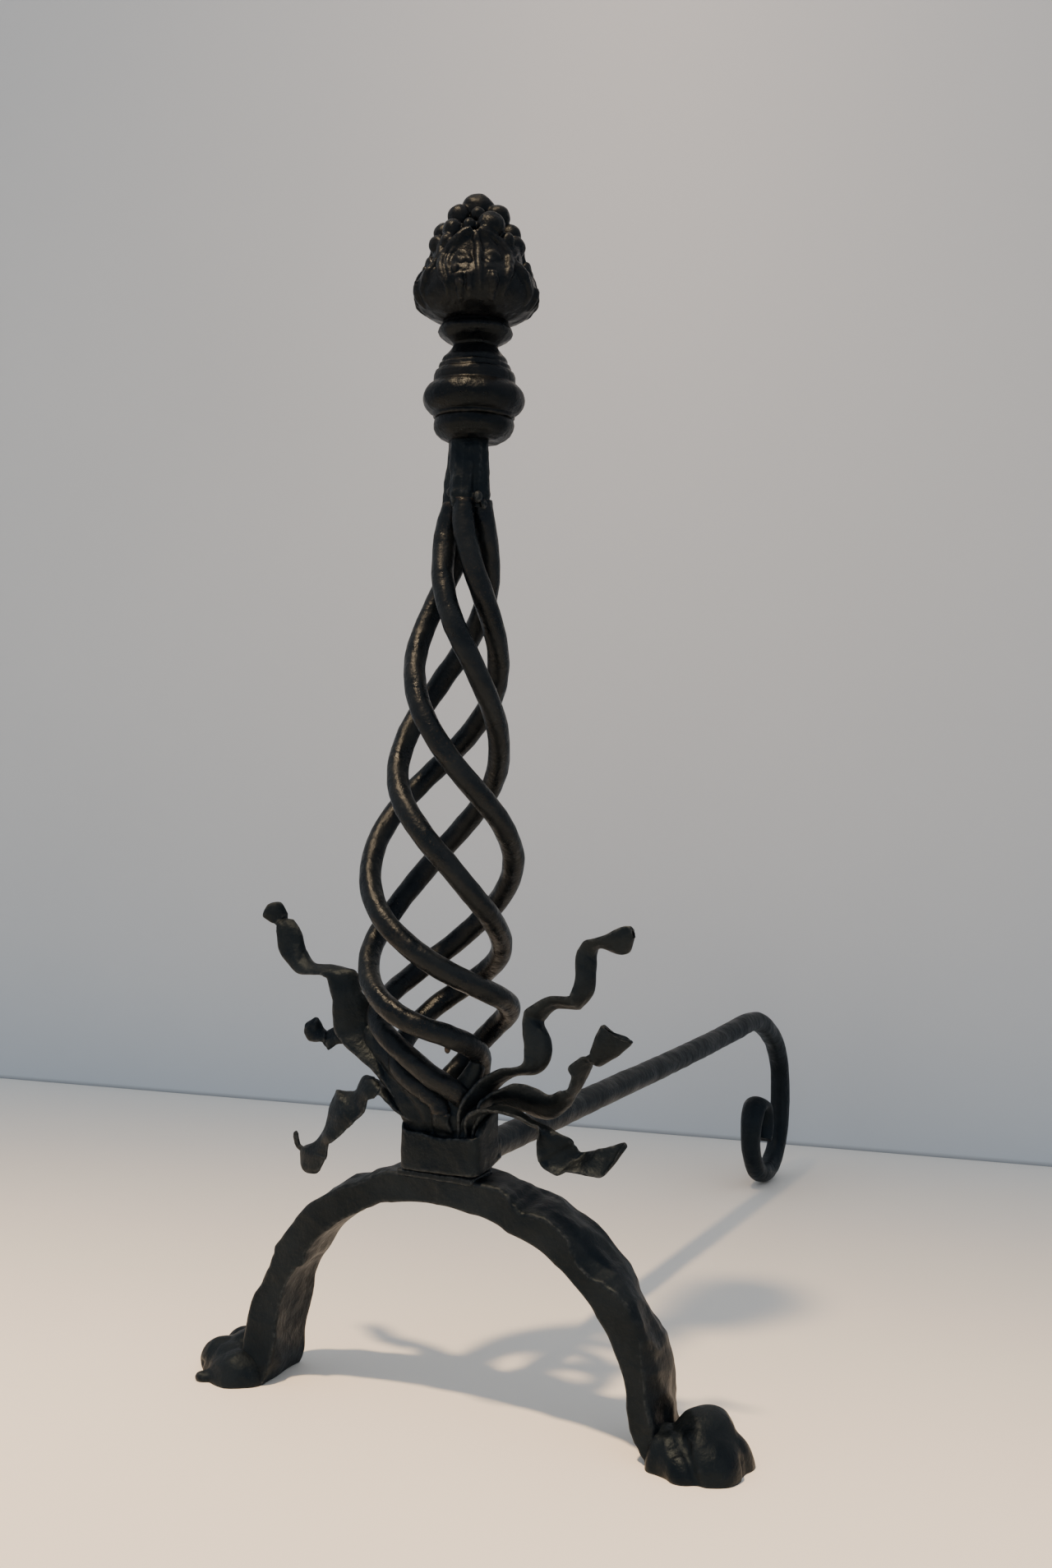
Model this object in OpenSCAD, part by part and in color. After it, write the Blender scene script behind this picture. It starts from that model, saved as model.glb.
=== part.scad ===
// Wrought iron andiron with a twisted basket stem, flame leaves and a cast finial.
// Right is +X, the room is at -Y, the fire at +Y and up is +Z. The floor is z = 0.

/* [Arch] */
// Half of the clear span between the legs, where they leave the arch
arch_half_span = 96; // [85:1:110]
// Height of the underside of the crown above the floor
arch_rise = 100; // [90:1:110]
// Squareness of the arch, where 2 is an ellipse
arch_squareness = 2.3; // [2:0.1:2.6]
// Depth of the flat bar, front to back
arch_bar_w = 32; // [26:1:38]
// Thickness of the flat bar
arch_bar_t = 13; // [10:0.5:15]
// How far the stem stands in front of the middle of the flat bar
arch_set_back = 7.5; // [4:0.5:9]
// How far each leg turns outwards at the floor
leg_kick = 4; // [0:0.5:8]
// Depth of a leg at the floor, front to back
foot_w = 38; // [32:1:42]
// How far the left foot stands forward and the right foot back
foot_stagger = 6; // [0:0.5:8]
// Depth of the hammered scallops along the outer face
scallop = 1.2; // [0:0.1:2]

/* [Paws] */
// Distance from the middle of the arch to the middle of a paw
paw_reach = 124; // [122:1:130]
// How far a paw stands in front of the middle of its leg
paw_forward = 3; // [0:0.5:6]
// Radius of the domed knuckle of a paw
paw_r = 20; // [18:0.5:21]
// Radius of each toe
toe_r = 10.5; // [9:0.5:11]
// Distance from the middle of a paw to the middle of a toe
toe_reach = 15; // [13:0.5:17]
// Angle between two toes
toe_spread = 56; // [45:1:60]

/* [Saddle] */
// Width of the strap collar, side to side
collar_w = 41; // [41:0.5:46]
// Height of the front wall of the collar
collar_h = 14; // [12:0.5:18]
// Thickness of the strap
strap_t = 3; // [2:0.25:3.5]
// How far the cheeks of the collar arch above its front wall
cheek_rise = 5; // [3:0.5:6]
// How far the plate under the collar reaches to the left of the stem
plate_left = 26; // [22:0.5:28]
// Diameter of the tenon that is riveted through the arch
tenon_d = 12; // [9:0.5:14]

/* [Rear bar] */
// Diameter of the round bar
bar_d = 14; // [12:0.5:16]
// Height of the bar's axis above the floor
bar_z = 124; // [121:0.5:126]
// Distance from the stem's axis to the axis of the rear leg
bar_reach = 526; // [420:2:560]
// Radius of the bend down into the rear leg
bend_r = 66; // [40:1:70]
// Radius of the large turn of the scroll foot
scroll_r1 = 38; // [32:0.5:40]
// Radius of the middle turn of the scroll foot
scroll_r2 = 18; // [16:0.5:19]
// Radius of the last turn of the scroll foot
scroll_r3 = 13; // [12:0.5:13.5]
// Height of the tab at the front end of the bar
tab_h = 29.5; // [27:0.5:30]
// Thickness of that tab
tab_t = 4.5; // [3:0.5:6]

/* [Basket] */
// Diameter of a basket rod
rod_d = 10.6; // [9:0.1:10.6]
// Largest radius of the basket, to the rods' axes
basket_r = 33.5; // [28:0.5:38]
// Height of the bottom of the basket
basket_z0 = 146; // [144:0.5:150]
// Height of the top of the basket
basket_z1 = 437; // [420:1:445]
// How far the belly of the basket bows to the left
basket_bow = 11; // [0:0.5:12]

/* [Leaves] */
// Thickness of a leaf
leaf_t = 1.8; // [1.5:0.1:1.9]

/* [Finial] */
// Height of the andiron
total_h = 582; // [578:1:590]
// Largest radius of the finial
finial_r = 28.5; // [27:0.5:31]
// Diameter of the threaded stud inside the finial
stud_d = 8; // [6:0.5:10]

/* [Hidden] */
$fn = 96;
IRON = [0.16, 0.17, 0.17];
BRONZED = [0.22, 0.18, 0.15];
STEEL = [0.45, 0.45, 0.46];
RODS = 4;
// Angle round the stem at which the rods leave the root
first_turn = -9;
// The front strands of the basket, the foremost thing, cross a little inside its largest radius
basket_front = 0.995 * basket_r + rod_d / 2;
// The origin is on the floor, at the middle of the whole andiron, and the stem is in front of it
stem_y = -(bar_reach + bar_d / 2 - basket_front) / 2;
arch_top = arch_rise + arch_bar_t;
plate_t = 3;
plate_right = 20;
plate_front = -9;
plate_top = arch_top + plate_t;
collar_z = plate_top + 5.5;
collar_front = -12;
tab_y = 7.5;
// Half of the width of the root block, and of its depth
root_half_w = 10.7;
root_half_d = 7.5;
// Heights of the joints between the turned pieces
lower_z = total_h - 117;
knop_z = total_h - 106.5;
spool_z = total_h - 72.5;
finial_z = total_h - 61;
SPIGOT_D = 12;

// ---------- curves and skins ----------

// Point on a smooth curve through the stations p, at place t from 0 to len(p) - 1
function smooth(p, t) =
    let (i = min(floor(t), len(p) - 2), f = t - i,
         a = p[max(i - 1, 0)], b = p[i], c = p[i + 1], d = p[min(i + 2, len(p) - 1)])
    0.5 * (2 * b + (c - a) * f + (2 * a - 5 * b + 4 * c - d) * f * f
        + (3 * b - a - 3 * c + d) * f * f * f);

function unit(v) = v / norm(v);

// Direction of a path of points at its point i
function heading(path, i) = unit(path[min(i + 1, len(path) - 1)] - path[max(i - 1, 0)]);

// Skin over rings with the same number of points each, with a flat cap on each end
module skin(rings) {
    n = len(rings[0]);
    top = (len(rings) - 1) * n;
    points = [for (ring = rings) each ring];
    walls = [for (i = [0:len(rings) - 2], j = [0:n - 1])
        let (k = (j + 1) % n, a = i * n + j, b = i * n + k)
        each [[a, b + n, b], [a, a + n, b + n]]];
    caps = [for (j = [1:n - 2]) each [[0, j, j + 1], [top, top + j + 1, top + j]]];
    polyhedron(points, concat(walls, caps), convexity = 8);
}

// ---------- arch and paws ----------

// Underside of the arch in plan X and Z, at angle a from the right floor end round to the left
function arch_inner(a) =
    let (k = 2 / arch_squareness, c = cos(a), s = sin(a),
         z = arch_rise * pow(max(s, 0), k),
         kick = leg_kick * pow(max(1 - z / 16, 0), 2))
    [sign(c) * (arch_half_span * pow(abs(c), k) + kick), z];

// The flat bar is swept round the arch. The outer face is hammered into shallow scallops.
module arch_bar() {
    steps = 72;
    waves = 17;
    path = [for (i = [0:steps]) arch_inner(i * 180 / steps)];
    rings = [for (i = [0:steps])
        let (p = path[i], q = i == 0 || i == steps ? [0, 1] * (i == 0 ? 1 : -1)
                : unit(path[i + 1] - path[i - 1]),
             out = [q[1], -q[0]],
             t = arch_bar_t + scallop * sin(i * waves * 360 / steps) * abs(sin(i * 360 / steps)),
             far = p + out * t,
             low = pow(max(1 - p[1] / arch_rise, 0), 2),
             middle = arch_set_back + sign(p[0]) * foot_stagger * low,
             half = arch_bar_w / 2 + (foot_w - arch_bar_w) / 2 * low * low,
             y0 = middle - half,
             y1 = middle + half)
        [[p[0], y0, p[1]], [far[0], y0, far[1]], [far[0], y1, far[1]], [p[0], y1, p[1]]]];
    color(IRON) difference() {
        skin(rings);
        translate([0, 0, arch_rise - 10]) cylinder(d = tenon_d, h = arch_bar_t + 20);
    }
}

// Right-hand paw: a domed knuckle with three toes fanned outwards, flat on the floor
module paw_right() {
    leg_face = arch_half_span + leg_kick + arch_bar_t + 0.3;
    knuckle_z = 6;
    toe_z = 4;
    color(IRON) translate([0, arch_set_back + foot_stagger - paw_forward, 0]) difference() {
        union() {
            translate([paw_reach, 0, knuckle_z]) sphere(r = paw_r);
            for (i = [-1:1])
                translate([paw_reach, 0, toe_z]) rotate([0, 0, i * toe_spread])
                    translate([toe_reach, 0, 0]) sphere(r = toe_r);
        }
        translate([paw_reach - 3 * paw_r, -2 * paw_r, -2 * paw_r]) cube([6 * paw_r, 4 * paw_r, 2 * paw_r]);
        translate([leg_face - 3 * paw_r, -2 * paw_r, -1]) cube([3 * paw_r, 4 * paw_r, 3 * paw_r]);
    }
}

module paw_left() {
    translate([0, -2 * foot_stagger, 0]) mirror([1, 0, 0]) paw_right();
}

// ---------- saddle ----------

module saddle_plate() {
    color(IRON) translate([0, 0, arch_top]) difference() {
        translate([-plate_left, plate_front, 0])
            cube([plate_left + plate_right, tab_y + tab_t - plate_front, plate_t]);
        translate([0, 0, -1]) cylinder(d = tenon_d, h = plate_t + 2);
    }
}

// Strap collar: a front wall and two cheeks that end against the bar's tab
module saddle_collar() {
    depth = tab_y - collar_front;
    color(IRON) difference() {
        union() {
            translate([-collar_w / 2, collar_front, collar_z]) cube([collar_w, depth, collar_h]);
            for (side = [-1, 1]) translate([side * (collar_w - strap_t) / 2, 0, collar_z]) cheek();
        }
        translate([strap_t - collar_w / 2, collar_front + strap_t, collar_z - 1])
            cube([collar_w - 2 * strap_t, depth, collar_h + 2]);
    }
}

// Arched cheek plate, centred on x = 0
module cheek() {
    depth = tab_y - collar_front;
    // Radius of an arc that rises by cheek_rise over the depth of the collar
    arc_r = (depth * depth / 4 + cheek_rise * cheek_rise) / (2 * cheek_rise);
    intersection() {
        translate([-strap_t / 2, collar_front, 0]) cube([strap_t, depth, collar_h + cheek_rise]);
        translate([-strap_t, collar_front + depth / 2, collar_h + cheek_rise - arc_r])
            rotate([0, 90, 0]) cylinder(r = arc_r, h = 2 * strap_t);
    }
}

// Forge-welded root of the four rods, with the tenon that is riveted flush under the arch
module stem_root() {
    color(IRON) union() {
        translate([-root_half_w, -root_half_d, plate_top])
            cube([2 * root_half_w, 2 * root_half_d, collar_z + collar_h - plate_top]);
        intersection() {
            for (i = [1:RODS]) rotate([0, 0, first_turn + i * 360 / RODS]) translate([ring_r(0), 0, 0])
                cylinder(d = rod_d, h = basket_z0);
            translate([-root_half_w, -2 * root_half_w, collar_z + collar_h])
                cube([2 * root_half_w, 2 * root_half_w + root_half_d, basket_z0 - collar_z - collar_h]);
        }
        translate([0, 0, arch_rise - 0.4]) cylinder(d = tenon_d, h = plate_top - arch_rise + 0.4);
    }
}

// ---------- rear bar ----------

// Quarter or half turn of the round bar in the plane x = 0, about a centre at y, z
module turn(y, z, r, from, sweep) {
    translate([0, y, z]) rotate([90, 0, 90]) rotate([0, 0, from])
        rotate_extrude(angle = sweep) translate([r, 0]) circle(d = bar_d);
}

// Round bar with a flat tab in front, and a leg and scroll foot behind
module rear_bar() {
    flat = 0.4;
    foot_z = bar_d / 2 - flat + scroll_r1;
    front_y = bar_reach - 2 * scroll_r1;
    mid_z = foot_z + scroll_r2 - scroll_r3;
    color(IRON) difference() {
        union() {
            tab();
            translate([0, tab_y + tab_t, bar_z]) rotate([-90, 0, 0])
                cylinder(d = bar_d, h = bar_reach - bend_r - tab_y - tab_t);
            turn(bar_reach - bend_r, bar_z - bend_r, bend_r, 0, 90);
            translate([0, bar_reach, foot_z]) cylinder(d = bar_d, h = bar_z - bend_r - foot_z);
            turn(bar_reach - scroll_r1, foot_z, scroll_r1, 180, 180);
            turn(front_y + scroll_r2, foot_z, scroll_r2, 90, 90);
            turn(front_y + scroll_r2, mid_z, scroll_r3, -25, 115);
        }
        translate([-bar_d, front_y, -bar_d]) cube([2 * bar_d, 2 * scroll_r1, bar_d]);
    }
}

// Flattened front end of the bar, round at the top, standing on the saddle plate
module tab() {
    corner = collar_w / 2;
    translate([0, tab_y + tab_t, 0]) rotate([90, 0, 0]) linear_extrude(tab_t) intersection() {
        translate([-collar_w / 2, plate_top]) square([collar_w, tab_h]);
        translate([0, plate_top + tab_h - corner - 2]) union() {
            circle(r = corner + 2);
            translate([-corner - 2, -tab_h]) square([2 * corner + 4, tab_h]);
        }
    }
    translate([0, tab_y + tab_t, bar_z]) rotate([-90, 0, 0]) cylinder(d1 = bar_d + 4, d2 = bar_d, h = 9);
}

// ---------- basket ----------

// Stations up the basket: height as a share of it, turn in degrees, radius as a share of basket_r
BASKET = [[0, 0, 0.25], [0.02, 12, 0.27], [0.05, 42, 0.36], [0.085, 78, 0.48], [0.125, 118, 0.68],
    [0.172, 162, 0.97], [0.227, 208, 1], [0.3, 257, 0.98], [0.36, 292, 1], [0.43, 327, 0.99],
    [0.5, 362, 0.9], [0.58, 405, 0.77], [0.66, 445, 0.69], [0.735, 483, 0.6], [0.82, 529, 0.46],
    [0.9, 575, 0.33], [0.955, 603, 0.265], [1, 612, 0.235]];

// How far the four rods stray from that, level along STRAY_WAY and upwards, for rod 1 to rod 4
STRAY = [[1.1, 0.7, 1.8, -1.8, -1.5, -0.7, -0.7, 0.2], [1.6, 1, 3.1, -1.9, -3.8, -1.6, -1.2, -1],
    [2.1, 1.3, 4.3, -2, -6.1, -2.4, -1.7, -2.2], [2.3, 1.4, 5.1, -1.7, -7.9, -3.1, -2, -3.3],
    [1.8, 1.3, 4.8, -0.7, -8.5, -3.3, -2, -4.2], [1.5, 0.3, 3.7, 0.7, -7.2, -2.7, -1.2, -4.4],
    [0.6, -2.3, 2.6, 1.9, -5.8, -1.3, -0.5, -4.8], [-0.3, -5, 1.4, 1.9, -5.3, 1.3, 0.2, -5.3],
    [-0.3, -6.1, -0.3, -0.2, -4.2, 2.7, 0.8, -5.4], [0, -6.2, -1.7, -3.1, -2.5, 2.4, 1.3, -5],
    [0.3, -5.6, -1.6, -4.2, -1.7, 1.4, 1.5, -3.7], [-0.2, -4.1, -0.7, -4.2, -0.7, 0.8, 1.7, -2.6],
    [-1.4, -2.1, 0.4, -3.7, 0.7, 0.7, 1.7, -1.9], [-1.9, -0.6, 0.7, -2.8, 1.6, 0.3, 1, -1.6],
    [-1.5, 0, 0.6, -2, 2.2, -0.6, -0.1, -1.9], [-0.9, 0.1, 1.1, -2.1, 2.6, -1.7, -1, -2.2],
    [-0.8, 0.2, 1.9, -2.8, 3.1, -2.7, -1.2, -2.3], [-0.4, 0.4, 1.8, -3.2, 3.1, -3, -0.8, -2.1],
    [0.4, 1, 0.7, -3.1, 2.6, -2.7, -0.6, -1.7], [0.6, 1.4, -0.3, -2.4, 2, -2, -0.9, -1],
    [0.3, 1.7, -0.2, -1.3, 1.3, -0.9, -1.5, -0.2], [-0.3, 2.1, 0, -0.1, 0.4, 0.4, -1.7, 0.4],
    [-0.6, 2.6, 0.2, 1.1, -0.7, 1.9, -1.5, 0.7], [-0.7, 3.3, 0.4, 2.4, -1.6, 3.6, -1.3, 1.1]];
STRAY_WAY = [cos(26.5), sin(26.5), 0];

function ring_r(s) = basket_r * smooth([for (b = BASKET) b[2]], s);

// Axis of a rod at station s: the lean of the belly is largest low down
function rod_point(number, s) =
    let (b = smooth(BASKET, s), z = basket_z0 + (basket_z1 - basket_z0) * b[0],
         a = first_turn + number * 360 / RODS - b[1], r = basket_r * b[2],
         bow = basket_bow * pow(sin(180 * pow(b[0], 0.65)), 1.5),
         share = s / (len(BASKET) - 1),
         free = max(min((share - 0.05) / 0.13, (1 - share) / 0.06, 1), 0),
         ease = free * free * (3 - 2 * free),
         stray = smooth(STRAY, share * (len(STRAY) - 1)) * ease)
    [r * cos(a) - bow, r * sin(a), z] + stray[2 * number - 2] * STRAY_WAY
        + [0, 0, stray[2 * number - 1]];

module basket_rod(number) {
    sides = 10;
    steps = 85;
    path = [for (i = [0:steps]) rod_point(number, i * (len(BASKET) - 1) / steps)];
    rings = [for (i = [0:steps])
        let (up = i == 0 || i == steps ? [0, 0, 1] : heading(path, i),
             u = unit(cross([0, 1, 0], up)), v = cross(up, u))
        [for (j = [0:sides - 1]) let (a = j * 360 / sides)
            path[i] + rod_d / 2 * (cos(a) * u + sin(a) * v)]];
    color(IRON) skin(rings);
}

// Four rods forge-welded into one faceted shaft, with a turned spigot for the castings
module neck_shaft() {
    top_r = 9.8;
    foot_r = ring_r(len(BASKET) - 1) + rod_d / 2;
    spigot_top = spool_z - 2;
    color(IRON) difference() {
        union() {
            translate([0, 0, basket_z1]) cylinder(r1 = foot_r - 1.2, r2 = top_r, h = lower_z - basket_z1);
            translate([0, 0, lower_z]) cylinder(d = SPIGOT_D, h = spigot_top - lower_z);
        }
        translate([0, 0, knop_z]) cylinder(d = stud_d, h = total_h);
    }
}

// ---------- turned castings and finial ----------

// Ring turned about the stem, from an outline of radius and of height above z
module turned(z, bore, outline) {
    color(BRONZED) translate([0, 0, z]) difference() {
        rotate_extrude() polygon(outline);
        translate([0, 0, -1]) cylinder(d = bore, h = total_h);
    }
}

// Round moulding: arc points of radius r about a centre, from the lower to the upper angle
function bead(x, z, r, low, high, steps = 10) =
    [for (i = [0:steps]) let (a = low + i * (high - low) / steps) [x + r * cos(a), z + r * sin(a)]];

module lower_collar() {
    turned(lower_z, SPIGOT_D,
        concat([[0, 0], [12.6, 0]], bead(13.4, 5.2, 5.3, -78, 78), [[0, knop_z - lower_z]]));
}

module knop() {
    h = spool_z - knop_z;
    turned(knop_z, SPIGOT_D, concat([[0, 0], [15, 0]], bead(15.6, 8.6, 8.6, -80, 62), [[18, 17]],
        bead(16.6, 19, 3, -40, 60, 6), [[16, 22.4]], bead(13, 25.4, 3, -50, 50, 6),
        [[11.4, 30.5], [10.3, h], [0, h]]));
}

module spool_ring() {
    h = finial_z - spool_z;
    turned(spool_z, stud_d, concat([[0, 0], [10.3, 0], [10.8, 2]], bead(13, 6.8, 4.8, -70, 70), [[0, h]]));
}

module finial_stud() {
    color(STEEL) translate([0, 0, knop_z]) cylinder(d = stud_d, h = finial_z + 22 - knop_z);
}

// Cast bud: a cup of leaves below and a bunch of round beads above
module finial() {
    crown_r = 7;
    color(BRONZED) difference() {
        union() {
            translate([0, 0, finial_z]) rotate_extrude() polygon(concat([[0, 0], [15.4, 0]],
                bead(finial_r - 11, 12.5, 11, -75, 35),
                [[22.6, 24], [21.6, 28], [22, 35], [18, 38], [12, 44], [6, 51], [0, 54]]));
            translate([0, 0, total_h - crown_r]) sphere(r = crown_r);
            bead_ring(6, 8.6, 14.2, 5.8, 0);
            bead_ring(9, 13.6, 23, 5.8, 20);
        }
        translate([0, 0, finial_z - 1]) cylinder(d = stud_d, h = 23);
    }
}

// Ring of beads, at a drop below the top of the finial
module bead_ring(count, ring, drop, r, start) {
    for (i = [0:count - 1]) rotate([0, 0, start + i * 360 / count])
        translate([ring, 0, total_h - drop]) sphere(r = r);
}

// ---------- leaves ----------

// Hot-bent strip between two edges. Each row has x, y, z of one edge and then of the other.
module leaf(rows) {
    steps = 4 * (len(rows) - 1);
    track = [for (i = [0:steps]) smooth(rows, i * (len(rows) - 1) / steps)];
    a = [for (t = track) [t[0], t[1], t[2]]];
    b = [for (t = track) [t[3], t[4], t[5]]];
    path = (a + b) / 2;
    rings = [for (i = [0:steps])
        let (along = i == 0 ? [0, 0, 1] : heading(path, i),
             thin = unit(cross(along, b[i] - a[i])) * leaf_t / 2)
        [b[i] + thin, a[i] + thin, a[i] - thin, b[i] - thin]];
    color(IRON) skin(rings);
}

LEFT_UPPER = [
    [-12, -7, 122, -12, 5, 122], [-12, -7, 139.5, -12, 3.5, 139.5], [-15.5, -8, 147, -15.5, 3.5, 146.5],
    [-27.5, -8, 149.5, -22, 4, 149.5], [-33.5, -8, 156, -26, 3, 157.5], [-39, -8, 161, -30.5, 2, 162],
    [-48.5, -8, 167, -39, 2, 167.5], [-58, -8, 173, -49, 1, 175.5], [-63.5, -8, 179.5, -50.5, 0, 181.5],
    [-64.5, -8, 191, -50.5, -1, 193], [-65.5, -8, 196, -52, -1, 198.5],
    [-69, -7, 203.5, -55, -1, 207.5], [-71.5, -7, 205.5, -60.5, 0, 209.5],
    [-73.5, -7, 206.5, -69, 2, 209.5], [-78, -7, 206, -81.5, 3, 210], [-85.5, -7, 205.5, -86, 1, 215.5],
    [-91, -6, 207.5, -87, 0, 218.5], [-99, -5, 214.5, -89.5, 0, 225], [-102, -4, 224, -94.5, 1, 230.5],
    [-102, -4, 227, -98, 3, 231], [-103, -3, 228.5, -100, 4, 231], [-106, -3, 229, -100, 3, 234],
    [-109.5, -5, 232, -103, 1, 239], [-109.5, -4, 235.5, -107.5, -1, 239]];
LEFT_MIDDLE = [
    [-14, 0, 122, -14, 7, 122], [-14, 0, 138.5, -14, 6.5, 138.5], [-16, 4.5, 143, -16, 10.5, 144],
    [-19.5, 7, 147, -19, 14, 147], [-31, 7.5, 147.5, -30, 14.5, 149],
    [-43.5, 5, 155.5, -41, 13.5, 157.5], [-55, 5, 164, -53, 12, 168.5], [-63, 5, 169, -62.5, 11, 174.5],
    [-66.5, 5, 170.5, -67, 10, 176.5], [-71, 5, 169.5, -73, 9, 178], [-74, 3, 167, -78, 10, 176],
    [-76.5, 4, 168.5, -80, 11, 175], [-78, 4, 170.5, -81.5, 11, 176], [-86, 5, 169.5, -83, 8, 180.5],
    [-90, 5, 173, -85.5, 8, 181.5], [-90, 6, 177, -89.5, 8, 178]];
LEFT_LOWER = [
    [-16.5, -7, 122, -16.5, 7, 122], [-16.5, -7, 138, -16.5, 7, 138], [-18, -7.5, 142, -18.5, 5.5, 142],
    [-28, -9, 146.5, -30.5, 4, 148], [-31.5, -10, 150, -34, 3, 152],
    [-34.5, -10, 151.5, -39.5, 2, 154.5], [-37, -9, 150, -40.5, -3, 157],
    [-39.5, -9, 148.5, -43, -4, 158], [-43, -9, 147, -50.5, -1, 157], [-44.5, -9, 142, -54.5, 0, 150],
    [-46, -9, 139.5, -59, 1, 148.5], [-50.5, -10, 135, -64, -1, 148.5],
    [-53, -10, 132.5, -66.5, -1, 147.5], [-58, -10, 128, -69, -1, 141], [-63, -10, 124, -72, 0, 131],
    [-66, -8, 122, -78, 2, 121.5], [-66.5, -8, 117, -86.5, 3, 117], [-67.5, -8, 114, -88.5, 2, 115.5],
    [-71, -7, 108.5, -88, 1, 108.5], [-73.5, -6, 106.5, -85, 0, 105.5], [-76, -5, 105.5, -81, -2, 105]];
RIGHT_UPPER = [
    [12, -7, 122, 12, 7, 122], [12, -7, 138, 12, 7, 138], [14.5, -9, 147, 14.5, 3.5, 146],
    [13, -11, 154, 14.5, 0.5, 151], [14, -9, 160.5, 17, 1, 154], [17.5, -8, 165, 20, 2, 157.5],
    [27, -8, 170.5, 27, 2, 164], [33.5, -8, 171.5, 31.5, 3, 166.5], [39.5, -8, 175, 43, 1, 169],
    [39, -7, 182, 50, -1, 176], [38, -7, 190, 50.5, -1, 185.5], [38.5, -7, 196.5, 46, 1, 192.5],
    [41.5, -8, 200.5, 46.5, 2, 195], [51, -8, 206, 52, 3, 200], [60.5, -8, 207, 62, 2, 200.5],
    [63, -8, 209, 65.5, 1, 202.5], [64.5, -7, 217.5, 71, 0, 209.5], [64.5, -7, 226.5, 72, 0, 220],
    [66, -7, 230.5, 72, 0, 225.5], [69.5, -8, 233.5, 72, 1, 228], [74.5, -8, 235, 73, 2, 229.5],
    [80.5, -7, 238, 82, -1, 228], [85.5, -6, 241, 88, -1, 229], [90, -5, 241.5, 90.5, -2, 234.5],
    [90.5, -4, 239.5, 91, -3, 237]];
RIGHT_MIDDLE = [
    [14, -7, 122, 14, 7, 122], [14, -7, 138, 14, 7, 138], [17, -8.5, 146, 16.5, 4, 145],
    [18, -9, 153, 18, 3.5, 147], [21, -6, 157, 18, 6, 149], [25, -6, 160, 24, 5, 150.5],
    [34.5, -7, 164.5, 35, 3, 149.5], [43.5, -7, 164, 44.5, 2, 147.5],
    [52.5, -7.5, 161.5, 52.5, 1.5, 149.5], [58.5, -9, 164, 59.5, 1, 155], [61, -8, 164.5, 61, 2, 158],
    [63, -7, 166, 61.5, 4, 160.5], [64, -7, 171, 66.5, 3, 167.5], [63, -9, 175.5, 70, 2, 174],
    [67.5, -7, 179.5, 70.5, 3, 176.5], [71, -7, 181, 72, 3, 176.5], [72.5, -7, 183.5, 75, 1, 176],
    [75, -8, 190, 83.5, -1, 181.5], [78, -8, 196, 90, -1, 187.5], [79.5, -7, 195, 90.5, -2, 189],
    [82.5, -6, 193, 88.5, -3, 191.5]];
RIGHT_LOWER = [
    [16.5, -7, 122, 16.5, 7, 122], [16.5, -7, 138, 16.5, 7, 138], [18.5, -8, 143, 18.5, 5, 143],
    [22, -12, 145, 21.5, 1, 144.5], [26, -15.5, 151, 22, -3, 150.5],
    [31, -16.5, 152.5, 25.5, -4.5, 153.5], [41, -18.5, 152.5, 35.5, -4.5, 152],
    [49.5, -19.5, 150, 45.5, -6.5, 148.5], [53.5, -19.5, 148.5, 50.5, -7.5, 147.5],
    [51, -15.5, 141.5, 59.5, -8.5, 145.5], [51, -14, 135, 65, -7, 143.5],
    [52.5, -13, 131, 66.5, -6, 140.5], [60, -13, 127, 69, -5, 137.5], [65, -13, 129, 73, -4, 137.5],
    [74.5, -13, 129, 78.5, -6, 140], [83, -13, 129.5, 84.5, -6, 142], [88, -12, 135, 89, -6, 144],
    [91.5, -10, 142.5, 93, -8, 145.5]];

// ---------- the assembly ----------

module place() {
    translate([0, stem_y, 0]) children();
}

place() arch_bar();
place() paw_left();
place() paw_right();
place() saddle_plate();
place() saddle_collar();
place() stem_root();
place() rear_bar();
for (i = [1:RODS]) place() basket_rod(i);
place() neck_shaft();
place() lower_collar();
place() knop();
place() spool_ring();
place() finial_stud();
place() finial();
place() leaf(LEFT_UPPER);  // leaf_left_upper
place() leaf(LEFT_MIDDLE);  // leaf_left_middle
place() leaf(LEFT_LOWER);  // leaf_left_lower
place() leaf(RIGHT_UPPER);  // leaf_right_upper
place() leaf(RIGHT_MIDDLE);  // leaf_right_middle
place() leaf(RIGHT_LOWER);  // leaf_right_lower
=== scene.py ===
from bisect import bisect_right
from math import atan2, copysign, cos, exp, hypot, pi, radians, sin

import bmesh
import bpy
from mathutils import Matrix, Vector, noise


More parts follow.
